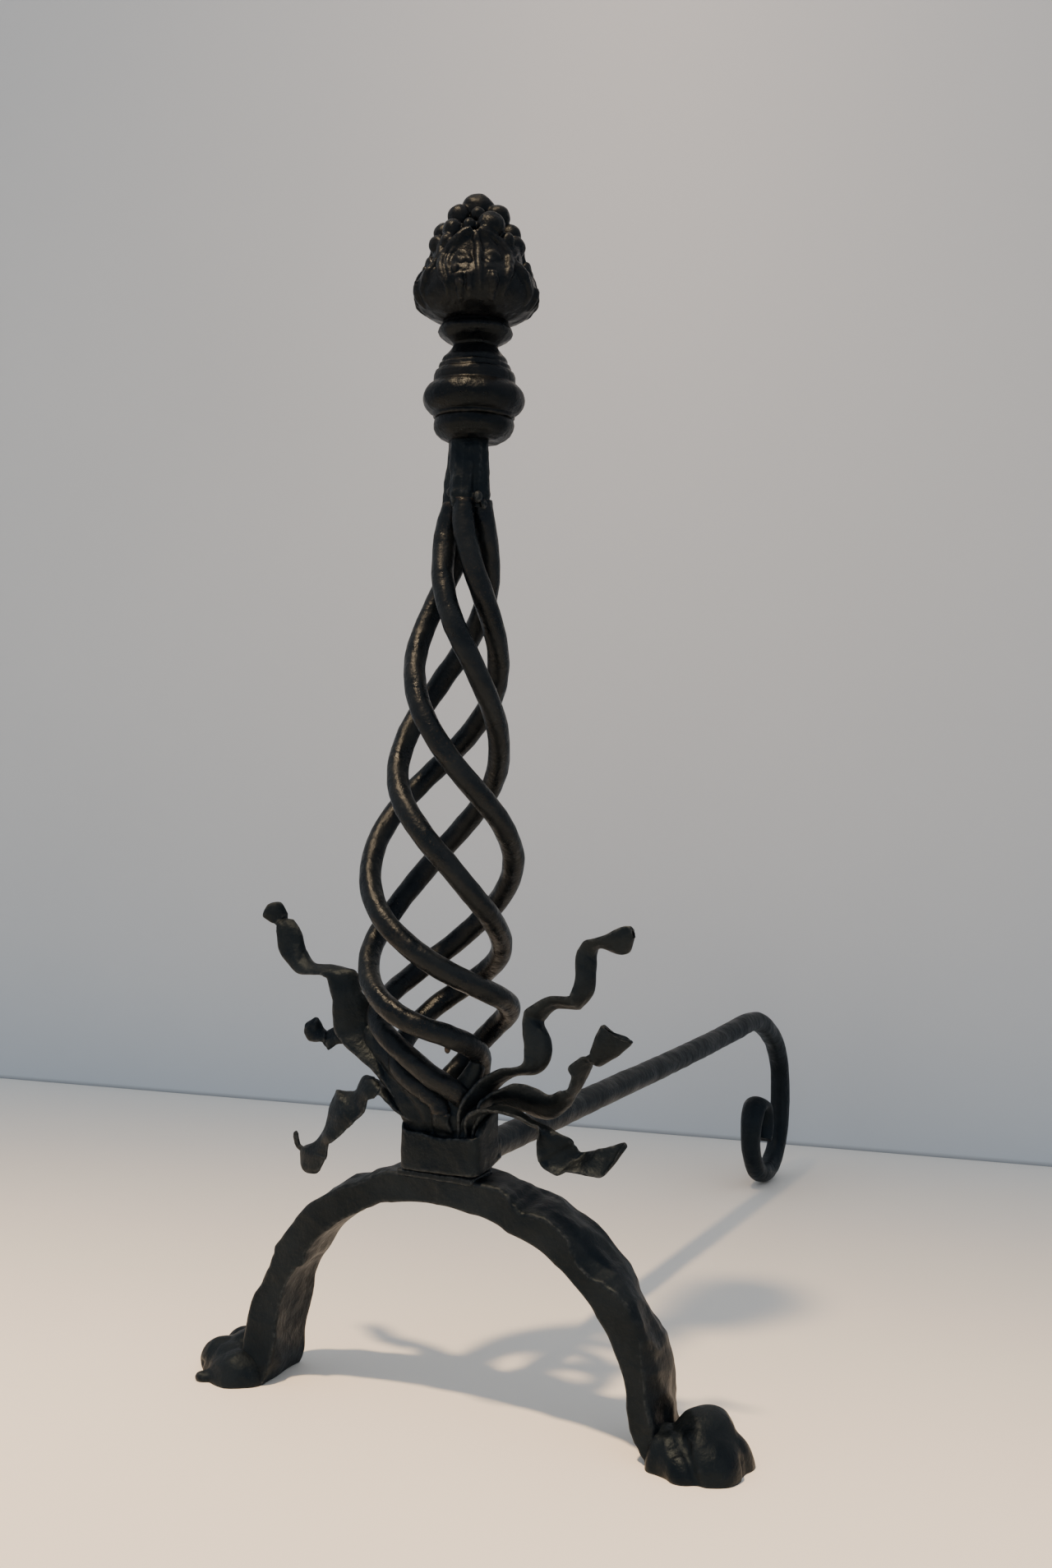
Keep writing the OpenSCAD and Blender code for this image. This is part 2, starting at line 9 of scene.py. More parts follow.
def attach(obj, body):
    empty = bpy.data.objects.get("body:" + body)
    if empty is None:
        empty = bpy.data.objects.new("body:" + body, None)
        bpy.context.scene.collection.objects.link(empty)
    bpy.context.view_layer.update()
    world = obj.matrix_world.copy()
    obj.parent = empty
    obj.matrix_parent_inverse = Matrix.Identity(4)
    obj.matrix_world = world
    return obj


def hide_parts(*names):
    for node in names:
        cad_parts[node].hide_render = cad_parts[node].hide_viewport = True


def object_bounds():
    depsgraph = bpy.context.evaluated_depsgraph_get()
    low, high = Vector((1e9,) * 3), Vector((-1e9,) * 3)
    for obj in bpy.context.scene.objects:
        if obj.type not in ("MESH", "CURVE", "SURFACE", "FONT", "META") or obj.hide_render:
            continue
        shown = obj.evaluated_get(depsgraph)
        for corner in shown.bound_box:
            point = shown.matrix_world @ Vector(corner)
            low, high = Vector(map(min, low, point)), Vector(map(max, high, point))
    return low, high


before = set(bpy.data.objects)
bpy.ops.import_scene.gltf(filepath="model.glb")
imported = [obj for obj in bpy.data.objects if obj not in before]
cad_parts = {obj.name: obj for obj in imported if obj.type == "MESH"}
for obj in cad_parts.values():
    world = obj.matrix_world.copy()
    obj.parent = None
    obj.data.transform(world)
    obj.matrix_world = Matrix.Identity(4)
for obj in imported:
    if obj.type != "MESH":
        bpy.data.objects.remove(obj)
cad_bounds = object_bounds()


# ---------- the room ----------
# A pale table top in front of a pale wall, warm lamps high at the front left that fade towards
# the wall, and plain light from all round. The camera stands where the photograph was taken from.

MM = 0.001
# The stem's axis in the CAD frame, in millimetres. Everything here is measured from that axis.
STEM_Y = -247.184


def at(x, y, z):
    """Point in metres in the CAD frame, from millimetres about the stem's axis."""
    return Vector((x, y + STEM_Y, z)) * MM


CAMERA_PLACE = (361.9, -658.0, 313.8)
LENS, SENSOR = 36.15, 36
YAW, PITCH, ROLL = radians(26.472), radians(0.817), radians(1.396)
camera = bpy.data.objects.new("camera", bpy.data.cameras.new("camera"))
camera.data.lens = LENS
camera.data.sensor_width = SENSOR
camera.data.clip_start = 0.05
ahead = Vector((-sin(YAW) * cos(PITCH), cos(YAW) * cos(PITCH), -sin(PITCH)))
level = Vector((cos(YAW), sin(YAW), 0))
upward = level.cross(ahead)
right = cos(ROLL) * level + sin(ROLL) * upward
upward = cos(ROLL) * upward - sin(ROLL) * level
turned = Matrix((right, upward, -ahead)).transposed().to_4x4()
camera.matrix_world = Matrix.Translation(at(*CAMERA_PLACE)) @ turned
bpy.context.scene.collection.objects.link(camera)
bpy.context.scene.camera = camera


def paint(name):
    """New node material: its nodes, its links, its shader and the place on the object."""
    made = bpy.data.materials.new(name)
    made.use_nodes = True
    nodes, links = made.node_tree.nodes, made.node_tree.links
    place = nodes.new("ShaderNodeTexCoord").outputs["Object"]
    return made, nodes, links, nodes["Principled BSDF"], place


def mottle(nodes, links, place, scale, detail=4.0, roughness=0.55):
    """Noise texture in object space, from 0 to 1. The scale is in blotches per metre."""
    grain = nodes.new("ShaderNodeTexNoise")
    grain.inputs["Scale"].default_value = scale
    grain.inputs["Detail"].default_value = detail
    grain.inputs["Roughness"].default_value = roughness
    links.new(place, grain.inputs["Vector"])
    return grain.outputs["Fac"]


def ramp(nodes, links, value, *stops):
    """Colour ramp over a value. Each stop is a place and a grey, or a place and a colour."""
    made = nodes.new("ShaderNodeValToRGB")
    links.new(value, made.inputs["Fac"])
    steps = made.color_ramp.elements
    while len(steps) < len(stops):
        steps.new(0.5)
    for step, (place, colour) in zip(steps, stops):
        step.position = place
        step.color = (*colour, 1) if isinstance(colour, tuple) else (colour, colour, colour, 1)
    return made.outputs["Color"]


def blend(nodes, links, share, under, over):
    """Lays one colour over another, by a share from 0 to 1."""
    made = nodes.new("ShaderNodeMix")
    made.data_type = "RGBA"
    links.new(share, made.inputs["Factor"])
    for socket, colour in ((made.inputs["A"], under), (made.inputs["B"], over)):
        if isinstance(colour, tuple):
            socket.default_value = (*colour, 1)
        else:
            links.new(colour, socket)
    return made.outputs["Result"]


def bump(nodes, links, shader, height, strength, distance):
    """Bump from a height, laid over the bump that the shader has already."""
    made = nodes.new("ShaderNodeBump")
    made.inputs["Strength"].default_value = strength
    made.inputs["Distance"].default_value = distance
    links.new(height, made.inputs["Height"])
    if shader.inputs["Normal"].is_linked:
        links.new(shader.inputs["Normal"].links[0].from_socket, made.inputs["Normal"])
    links.new(made.outputs["Normal"], shader.inputs["Normal"])


def plaster(name, low, high, rough):
    """Matt paint with faint wide blotches between two colours, and a fine grain."""
    made, nodes, links, shader, place = paint(name)
    blotch = mottle(nodes, links, place, 3.0)
    colour = ramp(nodes, links, blotch, (0.3, low), (0.7, high))
    links.new(colour, shader.inputs["Base Color"])
    shader.inputs["Roughness"].default_value = rough
    shader.inputs["Specular IOR Level"].default_value = 0.2
    bump(nodes, links, shader, mottle(nodes, links, place, 400.0), 0.05, 0.0005)
    return made


# Half the side of the floor and of the wall, in metres
STAGE_HALF = 4.0


def backdrop(name, matrix, material):
    """Square sheet of the stage, placed by a matrix. It isn't part of the andiron."""
    mesh = bmesh.new()
    bmesh.ops.create_grid(mesh, x_segments=8, y_segments=8, size=STAGE_HALF, matrix=matrix)
    data = bpy.data.meshes.new(name)
    mesh.to_mesh(data)
    mesh.free()
    data.materials.append(material)
    made = bpy.data.objects.new(name, data)
    bpy.context.scene.collection.objects.link(made)


# The wall's place on the floor behind the stem, and its turn from square to the log bar
WALL_PLACE, WALL_TURN = (-240, 567, 0), radians(11.8)
# Middle of the pool of painted light on the wall in millimetres, and its reach each way in metres
PAINTED_LIGHT_MIDDLE, PAINTED_LIGHT_REACH = (-150, 586, 1150), (0.75, 10.0, 1.68)

# Painted light: the wall's colour is paler in a wide pool above the stem, as if a window shone on
# it
wall_paint = plaster("wall_paint", (0.505, 0.562, 0.618), (0.53, 0.587, 0.643), 0.8)
nodes, links = wall_paint.node_tree.nodes, wall_paint.node_tree.links
shader, place = nodes["Principled BSDF"], nodes["Texture Coordinate"].outputs["Object"]
centred = nodes.new("ShaderNodeMapping")
centred.vector_type = "TEXTURE"
centred.inputs["Location"].default_value = at(*PAINTED_LIGHT_MIDDLE)
centred.inputs["Scale"].default_value = PAINTED_LIGHT_REACH
links.new(place, centred.inputs["Vector"])
painted_light_pool = nodes.new("ShaderNodeTexGradient")
painted_light_pool.gradient_type = "QUADRATIC_SPHERE"
links.new(centred.outputs["Vector"], painted_light_pool.inputs["Vector"])
plain = shader.inputs["Base Color"].links[0].from_socket
# Painted light: the pool's pale colour is blended over the wall's own colour
pale = blend(nodes, links, painted_light_pool.outputs["Fac"], plain, (0.93, 0.91, 0.895))
# Painted shadow: a thin dark line runs along the foot of the wall, where it meets the floor
heights = nodes.new("ShaderNodeSeparateXYZ")
links.new(place, heights.inputs["Vector"])
painted_foot_shadow = ramp(nodes, links, heights.outputs["Z"], (0.0016, 0.62), (0.0034, 0.0))
links.new(blend(nodes, links, painted_foot_shadow, pale, (0.1, 0.1, 0.1)), shader.inputs["Base Color"])
# Seen from behind, the wall is clear, so that the andiron shows from every side
sides = nodes.new("ShaderNodeNewGeometry")
clear, either = nodes.new("ShaderNodeBsdfTransparent"), nodes.new("ShaderNodeMixShader")
links.new(sides.outputs["Backfacing"], either.inputs["Fac"])
links.new(shader.outputs["BSDF"], either.inputs[1])
links.new(clear.outputs["BSDF"], either.inputs[2])
links.new(either.outputs["Shader"], nodes["Material Output"].inputs["Surface"])

backdrop("floor", Matrix(), plaster("floor_paint", (0.85, 0.84, 0.8), (0.88, 0.87, 0.83), 0.55))
backdrop("wall", Matrix.Translation(at(*WALL_PLACE)) @ Matrix.Rotation(WALL_TURN, 4, "Z")
         @ Matrix.Rotation(radians(90), 4, "X"), wall_paint)

# Three warm lamps side by side. They aim at the floor far in front, so that only the soft edge of
# their light reaches the wall.
LAMP_POWER, LAMP_SIZE, LAMP_COLOUR = 105.0, 0.05, (1.0, 0.67, 0.38)
LAMP_PLACE, LAMP_AIM = (-185, -620, 1990), (402, -2500, 0)
LAMP_ANGLE, LAMP_EDGE = radians(152), 0.413
for number, shift in enumerate((-20, 0, 20)):
    light = bpy.data.lights.new(f"key_{number}", "SPOT")
    light.energy, light.color, light.shadow_soft_size = LAMP_POWER, LAMP_COLOUR, LAMP_SIZE
    light.spot_size, light.spot_blend = LAMP_ANGLE, LAMP_EDGE
    lamp = bpy.data.objects.new(f"key_{number}", light)
    sideways = Vector((shift, 0, 0)) * MM
    lamp.location = at(*LAMP_PLACE) + sideways
    lamp.rotation_euler = (at(*LAMP_AIM) - at(*LAMP_PLACE)).to_track_quat("-Z", "Y").to_euler()
    bpy.context.scene.collection.objects.link(lamp)

SKY_COLOUR, SKY_STRENGTH = (0.97, 1.0, 1.06, 1), 0.68
world = bpy.data.worlds.new("light_all_round")
world.use_nodes = True
sky = world.node_tree.nodes["Background"]
sky.inputs["Color"].default_value = SKY_COLOUR
sky.inputs["Strength"].default_value = SKY_STRENGTH
bpy.context.scene.world = world


# ---------- the arch ----------
# Flat bar of wrought iron, bent hot into both front legs. The outer face is hammered into
# facets that meet on a wandering crease, so its edges wave in and out. Waxed black, not painted.


def iron_finish(name, dark, pale, wear_and_glint_colour, rough, shine, tint):
    """Blackened iron: blotches of scale, fine pits, and rubbed edges where the wear is, painted in
    a paler colour that is wear and, where that colour is gold, also painted glints.
    """
    made, nodes, links, shader, place = paint(name)

    def product(one, two):
        both = nodes.new("ShaderNodeMath")
        both.operation = "MULTIPLY"
        links.new(one, both.inputs[0])
        links.new(two, both.inputs[1])
        return both.outputs[0]

    blotch = ramp(nodes, links, mottle(nodes, links, place, 45.0, 6.0), (0.38, dark), (0.68, pale))
    speck = mottle(nodes, links, place, 420.0, 5.0, 0.7)
    wear = nodes.new("ShaderNodeAttribute")
    wear.attribute_name = "wear"
    # Rubbed edges take the paler colour: wear, and painted glints where that colour is gold
    rubbed_and_glint = product(wear.outputs["Fac"], ramp(nodes, links, speck, (0.42, 0.0), (0.6, 1.0)))
    coat = blend(nodes, links, rubbed_and_glint, blotch, wear_and_glint_colour)
    # Fine pale specks that lie in patches: partly dust, partly painted glints
    dust_and_glint_specks = ramp(nodes, links, mottle(nodes, links, place, 1100.0, 2.0), (0.6, 0.0), (0.72, 0.7))
    patch = ramp(nodes, links, mottle(nodes, links, place, 38.0, 3.0), (0.46, 0.0), (0.64, 1.0))
    links.new(blend(nodes, links, product(dust_and_glint_specks, patch), coat, tuple(0.6 * part for part in wear_and_glint_colour)),
              shader.inputs["Base Color"])
    sheen = ramp(nodes, links, mottle(nodes, links, place, 90.0, 5.0), (0.3, rough - 0.1),
                 (0.7, rough + 0.14))
    links.new(sheen, shader.inputs["Roughness"])
    shader.inputs["Specular IOR Level"].default_value = shine
    shader.inputs["Specular Tint"].default_value = tint
    bump(nodes, links, shader, mottle(nodes, links, place, 110.0, 3.0), 0.55, 0.002)
    bump(nodes, links, shader, speck, 0.4, 0.0007)
    pits = nodes.new("ShaderNodeTexVoronoi")
    pits.inputs["Scale"].default_value = 380.0
    links.new(place, pits.inputs["Vector"])
    bump(nodes, links, shader, ramp(nodes, links, pits.outputs["Distance"], (0.05, 0.0),
                                    (0.3, 1.0)), 0.12, 0.0002)
    return made


IRON = iron_finish("black_iron", (0.0014, 0.0026, 0.0042), (0.0056, 0.0082, 0.0112),
                   (0.028, 0.033, 0.038), 0.42, 0.16, (0.62, 0.82, 1.0, 1))


def limit(value, low=0, high=1):
    """The value, kept between two others."""
    return min(max(value, low), high)


def wave(x, y, z):
    """Smooth random height, mostly between -0.7 and 0.7, that is the same in every run."""
    return noise.noise(Vector((x, y, z)))


def smooth(rows, place):
    """Row of numbers on a smooth curve through rows, at a place from 0 to 1."""
    run = limit(place) * (len(rows) - 1)
    i = min(int(run), len(rows) - 2)
    f = run - i
    a, b, c, d = rows[max(i - 1, 0)], rows[i], rows[i + 1], rows[min(i + 2, len(rows) - 1)]
    return [0.5 * (2 * q + (r - p) * f + (2 * p - 5 * q + 4 * r - s) * f * f
                   + (3 * q - p - 3 * r + s) * f ** 3) for p, q, r, s in zip(a, b, c, d)]


def between(table, place):
    """Value at a place in a table of (place, value), eased from one entry to the next."""
    i = limit(bisect_right(table, (place, 1e9)), 1, len(table) - 1)
    (p, v), (q, w) = table[i - 1], table[i]
    f = limit((place - p) / (q - p))
    return v + (w - v) * f * f * (3 - 2 * f)


def rounded(turn, half_a, half_b, corner):
    """Point at a share of a turn on a rounded rectangle, with most points near its corners."""
    side, part = divmod((turn % 1.0) * 4, 1.0)
    part = sin(pi / 2 * (2 * part - 1))
    x, y = [(-1, part), (part, 1), (1, -part), (-part, -1)][int(side)]
    x, y = x * half_a, y * half_b
    near_x = copysign(min(abs(x), half_a - corner), x)
    near_y = copysign(min(abs(y), half_b - corner), y)
    far = hypot(x - near_x, y - near_y)
    return near_x + (x - near_x) / far * corner, near_y + (y - near_y) / far * corner


def closed(mesh):
    """Fills the open ends with flat faces, and turns every face outwards."""
    ends = bmesh.ops.holes_fill(mesh, edges=[e for e in mesh.edges if e.is_boundary], sides=0)
    for face in ends["faces"]:
        face.smooth = False
    bmesh.ops.recalc_face_normals(mesh, faces=mesh.faces)


def swept(along, around, shape):
    """Solid bar: a grid bent by shape(length, turn), joined to itself and closed at its ends."""
    mesh = bmesh.new()
    bmesh.ops.create_grid(mesh, x_segments=along, y_segments=around, size=1.0)
    for vert in mesh.verts:
        vert.co = shape((vert.co.x + 1) / 2, (vert.co.y + 1) / 2)
    bmesh.ops.remove_doubles(mesh, verts=mesh.verts, dist=0.002)
    for face in mesh.faces:
        face.smooth = True
    closed(mesh)
    return mesh


def pushed(mesh, amount):
    """Moves every point along its normal, by the amount that its place gives."""
    mesh.normal_update()
    moves = [vert.normal * amount(vert.co) for vert in mesh.verts]
    for vert, move in zip(mesh.verts, moves):
        vert.co += move


def hammered(mesh, size, depth, lump=0.0, lump_size=30.0):
    """Shallow bowls left by the hammer, of a size and depth, over slower lumps."""
    def amount(place):
        near = noise.voronoi(place / size)[0]
        return depth * (near[0] ** 2 - 0.35) + lump * noise.noise(place / lump_size)
    pushed(mesh, amount)


def finished(name, mesh, material, *nodes, slot="wrought_iron"):
    """Puts a mesh in millimetres about the stem into the scene as a piece of the andiron."""
    mesh.normal_update()
    wear = mesh.verts.layers.float.new("wear")
    raw = {}
    for vert in mesh.verts:
        bends = [(edge.other_vert(vert).co - vert.co) for edge in vert.link_edges]
        bends = [-2 * step.dot(vert.normal) / max(step.length_squared, 1e-6) for step in bends]
        raw[vert] = sum(bends) / max(len(bends), 1)
    for vert in mesh.verts:
        around = [raw[edge.other_vert(vert)] for edge in vert.link_edges] + [raw[vert]]
        vert[wear] = limit((sum(around) / len(around) - 0.12) * 3.2)
    bmesh.ops.transform(mesh, matrix=Matrix.Translation((0, STEM_Y, 0)), verts=mesh.verts)
    bmesh.ops.scale(mesh, vec=(MM, MM, MM), verts=mesh.verts)
    data = bpy.data.meshes.new(name)
    mesh.to_mesh(data)
    mesh.free()
    data.materials.append(material)
    made = bpy.data.objects.new(name, data)
    bpy.context.scene.collection.objects.link(made)
    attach(made, "root")
    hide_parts(*nodes)


# Distances of the bar's four edges from a smooth inner curve, by the share of the way along it
# from the right foot to the left foot
OUTER_FRONT = [
    (0, 12.5), (0.05, 12), (0.087, 10.6), (0.129, 12.5), (0.145, 13.7), (0.164, 16),
    (0.183, 17.3), (0.203, 17.1), (0.223, 15.4), (0.241, 12), (0.259, 8.6), (0.28, 8.2),
    (0.298, 10.5), (0.31, 13.5), (0.324, 14.4), (0.343, 14.5), (0.362, 13.1), (0.38, 10.6),
    (0.394, 12.3), (0.405, 15.3), (0.42, 16.9), (0.454, 16.2), (0.47, 15.6), (0.51, 14.7),
    (0.536, 15), (0.594, 17.2), (0.614, 16.4), (0.627, 15.1), (0.642, 14.6), (0.666, 15.5),
    (0.688, 15.2), (0.728, 16.1), (0.748, 16), (0.762, 15.3), (0.784, 15.3), (0.801, 16.2),
    (0.813, 14.4), (0.832, 13), (0.855, 13.5), (0.879, 15.8), (0.888, 16), (0.918, 15.1),
    (1, 14)]
OUTER_REAR = [
    (0, 11), (0.037, 10.5), (0.059, 10.8), (0.078, 11.9), (0.106, 12.8), (0.131, 13.5),
    (0.148, 14), (0.161, 12.3), (0.181, 10.6), (0.207, 10.5), (0.225, 12.1), (0.246, 13.8),
    (0.268, 13.4), (0.29, 13.7), (0.306, 13.8), (0.323, 13.4), (0.34, 12.6), (0.365, 14.4),
    (0.38, 14.2), (0.399, 12.8), (0.424, 10.4), (0.446, 11.6), (0.477, 13), (0.55, 13.6),
    (0.6, 15), (0.64, 12.6), (0.68, 14.8), (0.72, 13), (0.76, 15.4), (0.8, 13.4),
    (0.85, 15.2), (0.9, 13), (0.95, 14.6), (1, 13)]
INNER_FRONT = [
    (0, 4.6), (0.018, 3.2), (0.032, 1.5), (0.055, 0.6), (0.077, 0.3), (0.106, 1.1),
    (0.138, 1.6), (0.162, 0.9), (0.217, 0.3), (0.25, -0.2), (0.386, -0.6), (0.412, 0.4),
    (0.449, 1.1), (0.51, 2.4), (0.562, 2.2), (0.61, 3), (0.637, 1.6), (0.656, 0.5),
    (0.7, 1), (0.736, 1.4), (0.773, 0.3), (0.792, -1.8), (0.806, 0.5), (0.822, 0.9),
    (0.875, -0.1), (0.901, -0.8), (0.929, -2.6), (1, -3)]
INNER_REAR = [
    (0, 3), (0.03, 1), (0.1, 0.6), (0.2, 0), (0.3, 0.4), (0.4, 0.8), (0.5, 1.2), (0.6, 2),
    (0.7, 1.8), (0.758, 2.9), (0.785, 2.5), (0.819, 2.9), (0.845, 2.3), (0.871, 1),
    (0.897, 0.7), (0.939, 0.3), (0.977, -1), (1, -1.1)]
# Where the crease runs over the outer face, from -1 at its front edge to 1 at its rear edge
CREASE = [(0, -0.1), (0.06, 0.1), (0.12, -0.55), (0.17, -0.8), (0.24, -0.45), (0.3, 0.05),
          (0.38, 0.5), (0.46, 0.8), (0.55, 0.1), (0.63, -0.4), (0.7, 0.3), (0.8, -0.3),
          (0.9, 0.2), (1, 0)]
# Half thickness and half width of the bar before it is hammered, and its middle's place in Y
ARCH_HALF_T, ARCH_HALF_W, ARCH_MIDDLE = 6.5, 16.0, 7.5
# The inner curve: half its span, its rise, how square its shoulders are, how far its feet turn out
HALF_SPAN, RISE, SQUARENESS, KICK = 96.0, 100.0, 2.3, 4.0


def inner_curve(turn):
    """Underside of the arch, in X and Z, from the right foot at 0 to the left foot at 1."""
    c, s = cos(turn * pi), max(sin(turn * pi), 0.0)
    z = RISE * s ** (2 / SQUARENESS)
    kick = KICK * max(1 - z / 16, 0) ** 2
    return Vector((copysign(HALF_SPAN * abs(c) ** (2 / SQUARENESS) + kick, c), z))


CURVE_STEPS = 800
curve = [inner_curve(i / CURVE_STEPS) for i in range(CURVE_STEPS + 1)]
lengths = [0.0]
for a, b in zip(curve, curve[1:]):
    lengths.append(lengths[-1] + (b - a).length)


def on_arch(share):
    """Place on the underside, and the way out from it, at a share of its length."""
    goal = share * lengths[-1]
    i = limit(bisect_right(lengths, goal), 1, CURVE_STEPS)
    f = (goal - lengths[i - 1]) / (lengths[i] - lengths[i - 1])
    place = curve[i - 1].lerp(curve[i], f)
    along = (curve[min(i + 4, CURVE_STEPS)] - curve[max(i - 5, 0)]).normalized()
    return place, Vector((along.y, -along.x))


def arch_shape(share, turn):
    """Point on the arch, in X, Y and Z, at a share of its length and of a turn round the bar."""
    place, out = on_arch(share)
    if share in (0.0, 1.0):
        out = Vector((copysign(1, place.x), 0))
    corner = 1.5 + 0.6 * wave(share * 30, 4.0, 0)
    x, y = rounded(turn, ARCH_HALF_T, ARCH_HALF_W, corner)
    thick, wide = (x / ARCH_HALF_T + 1) / 2, (y / ARCH_HALF_W + 1) / 2
    inner = between(INNER_FRONT, share) * (1 - wide) + between(INNER_REAR, share) * wide
    outer = between(OUTER_FRONT, share) * (1 - wide) + between(OUTER_REAR, share) * wide
    crease = (between(CREASE, share) + 1) / 2
    rise = wide / crease if wide < crease else (1 - wide) / (1 - crease)
    # The hammer's planes meet on sharp ridges between the edges of the outer face
    ridge = 1 - 2.6 * abs(wave(share * 17, wide * 1.5, 5))
    outer += 0.3 + (2.1 * rise + 1.7 * ridge * wide * (1 - wide) * 4) * max(thick - 0.7, 0) / 0.3
    inner -= 0.2 + 0.5 * wave(share * 20, wide * 2, 9)
    low = max(1 - place.y / RISE, 0) ** 2
    middle = ARCH_MIDDLE + copysign(6.0, place.x) * low
    half = ARCH_HALF_W + 3 * low * low + 0.5 * wave(share * 14, 0, 7)
    spot = place + out * (inner + (outer - inner) * thick)
    return spot.x, middle + (2 * wide - 1) * half, max(spot.y, 0.0)


arch = swept(420, 112, arch_shape)
hammered(arch, 19.0, 1.3, 0.6, 26.0)
for vert in arch.verts:
    vert.co.z = max(vert.co.z, 0.0)
finished("arch", arch, IRON, "arch_bar")


# ---------- the paws ----------
# Forged lion's paws of wrought iron: a domed knuckle with three toes fanned outwards, worked
# with a fuller and welded to the outside of each leg. They stand flat on the floor.


def blob(mesh, middle, radii, turn=0.0):
    """Egg-shaped lump of iron, turned about the upright by some degrees."""
    made = bmesh.ops.create_icosphere(mesh, subdivisions=4, radius=1.0)["verts"]
    place = (Matrix.Translation(middle) @ Matrix.Rotation(radians(turn), 4, "Z")
             @ Matrix.Diagonal((*radii, 1)))
    bmesh.ops.transform(mesh, matrix=place, verts=made)


def rubbed_smooth(mesh, rounds):
    """Moves every point towards the middle of its neighbours, some rounds long."""
    for _ in range(rounds):
        bmesh.ops.smooth_vert(mesh, verts=mesh.verts, factor=0.5, use_axis_x=True,
                              use_axis_y=True, use_axis_z=True)


def melted(mesh, voxel, rounds):
    """Lumps run together into one skin of small squares, then rubbed smooth."""
    data = bpy.data.meshes.new("melt")
    mesh.to_mesh(data)
    mesh.free()
    lump = bpy.data.objects.new("melt", data)
    bpy.context.scene.collection.objects.link(lump)
    remesh = lump.modifiers.new("melt", "REMESH")
    remesh.mode, remesh.voxel_size, remesh.use_smooth_shade = "VOXEL", voxel, True
    bpy.context.view_layer.update()
    made = bmesh.new()
    made.from_mesh(lump.evaluated_get(bpy.context.evaluated_depsgraph_get()).to_mesh())
    bpy.data.objects.remove(lump)
    bpy.data.meshes.remove(data)
    rubbed_smooth(made, rounds)
    for face in made.faces:
        face.smooth = True
    return made


def stood_flat(mesh):
    """Cuts a lump off at the floor and closes it there."""
    bmesh.ops.bisect_plane(mesh, geom=mesh.verts[:] + mesh.edges[:] + mesh.faces[:],
                           plane_co=(0, 0, 0), plane_no=(0, 0, -1), clear_outer=True)
    closed(mesh)


def notched(mesh, start, end, width, depth):
    """Groove pressed in with a fuller, between two points, towards the paw's middle."""
    start, end = Vector(start), Vector(end)
    along = end - start

    def amount(place):
        share = limit((place - start).dot(along) / along.length_squared)
        off = (place - start - along * share).length / width
        return -depth * exp(-off * off * 1.6)
    pushed(mesh, amount)


def paw(name, node, lumps, rounds, grooves, dents):
    """Lumps run together, grooved with the fuller, then hammered and set on the floor."""
    mesh = bmesh.new()
    for middle, radii, turn in lumps:
        blob(mesh, middle, radii, turn)
    mesh = melted(mesh, 0.8, rounds)
    for groove in grooves:
        notched(mesh, *groove)
    hammered(mesh, *dents)
    rubbed_smooth(mesh, 1)
    stood_flat(mesh)
    finished(name, mesh, IRON, node)


# Lumps: middle, radii and turn. Grooves: start, end, width and depth. Then the hammer's dents:
# size, depth, and height and size of the slower lumps.
paw("paw_on_right_leg", "paw_right", [
    ((126.5, 12, 4.5), (17, 19, 20.7), 20), ((133, 4, 2.5), (14.5, 16, 15.5), -20),
    ((136, 14.5, 2), (13, 11.5, 14.8), 20), ((116.5, -1, 3), (10.8, 11.5, 13.5), -12),
    ((123, -5, 2.5), (10, 9.5, 11), 10), ((128, 1, 4), (13, 12, 16), 0),
    ((110, 6, 6), (8, 12, 11), 0), ((110, -3, 3), (6.5, 8, 12), 0)], 10, [
    ((116.5, -1, 22), (124, -8, 15), 2.8, 1.2), ((124, -8, 15), (132.5, -13, 0), 2.8, 1.7),
    ((147, 6, 8), (149, 5, 0), 2.4, 1.8)], (12.0, 1.5, 1.6, 15.0))
paw("paw_on_left_leg", "paw_left", [
    ((-117, 3, 3), (12, 17, 17), -10), ((-111.5, -16, 2.5), (15, 11.5, 12.5), 14),
    ((-128.5, -4.5, 2.5), (12.8, 12, 13.2), 4), ((-123.5, 8, 3.5), (13, 10.5, 14), -20),
    ((-119, -9, 3), (13, 12, 13), 0), ((-124, -23.2, 1.8), (7, 3.4, 3.8), 34)], 6, [
    ((-105, -7.5, 15), (-139, -14.5, 2), 2.2, 2.0), ((-112, 3, 20), (-142, 4, 4), 2.4, 1.8),
    ((-118, -29, 5), (-132, -20, 7), 1.6, 0.8)], (10.0, 1.1, 1.0, 13.0))


# ---------- the saddle plate and the collar ----------
# Both are wrought iron. A thin packing plate lies on the crown. A strap is bent hot round the
# front of the stem's root, with a wavy top edge and two arched cheeks that run back to the tab of
# the rear bar.

# Top of the crown, then the plate's thickness, left end, length and half width
ARCH_TOP, PLATE_T, PLATE_LEFT, PLATE_LONG, PLATE_HALF_W = 114.0, 3.4, -26, 42, 10.8


def plate_shape(share, turn):
    """Plate with soft ends, a little wavy from the hammer."""
    x, y = rounded(turn, PLATE_T / 2, PLATE_HALF_W, 1.1)
    fade = min(1.0, (1 - abs(2 * share - 1)) / 0.05)
    swell = 0.5 * wave(share * 5, y / 9, 2)
    tight = 1 - 0.12 * (1 - fade) ** 2
    edge = 0.4 * wave(share * 8, 0, 3)
    thin = x * (1 - 0.4 * (1 - fade) ** 2)
    return (PLATE_LEFT + PLATE_LONG * share, 1.2 + y * tight + edge,
            ARCH_TOP + PLATE_T / 2 + thin + swell)


plate = swept(90, 60, plate_shape)
hammered(plate, 9.0, 0.35)
finished("plate_under_stem", plate, IRON, "saddle_plate")

STRAP_T = 3.2
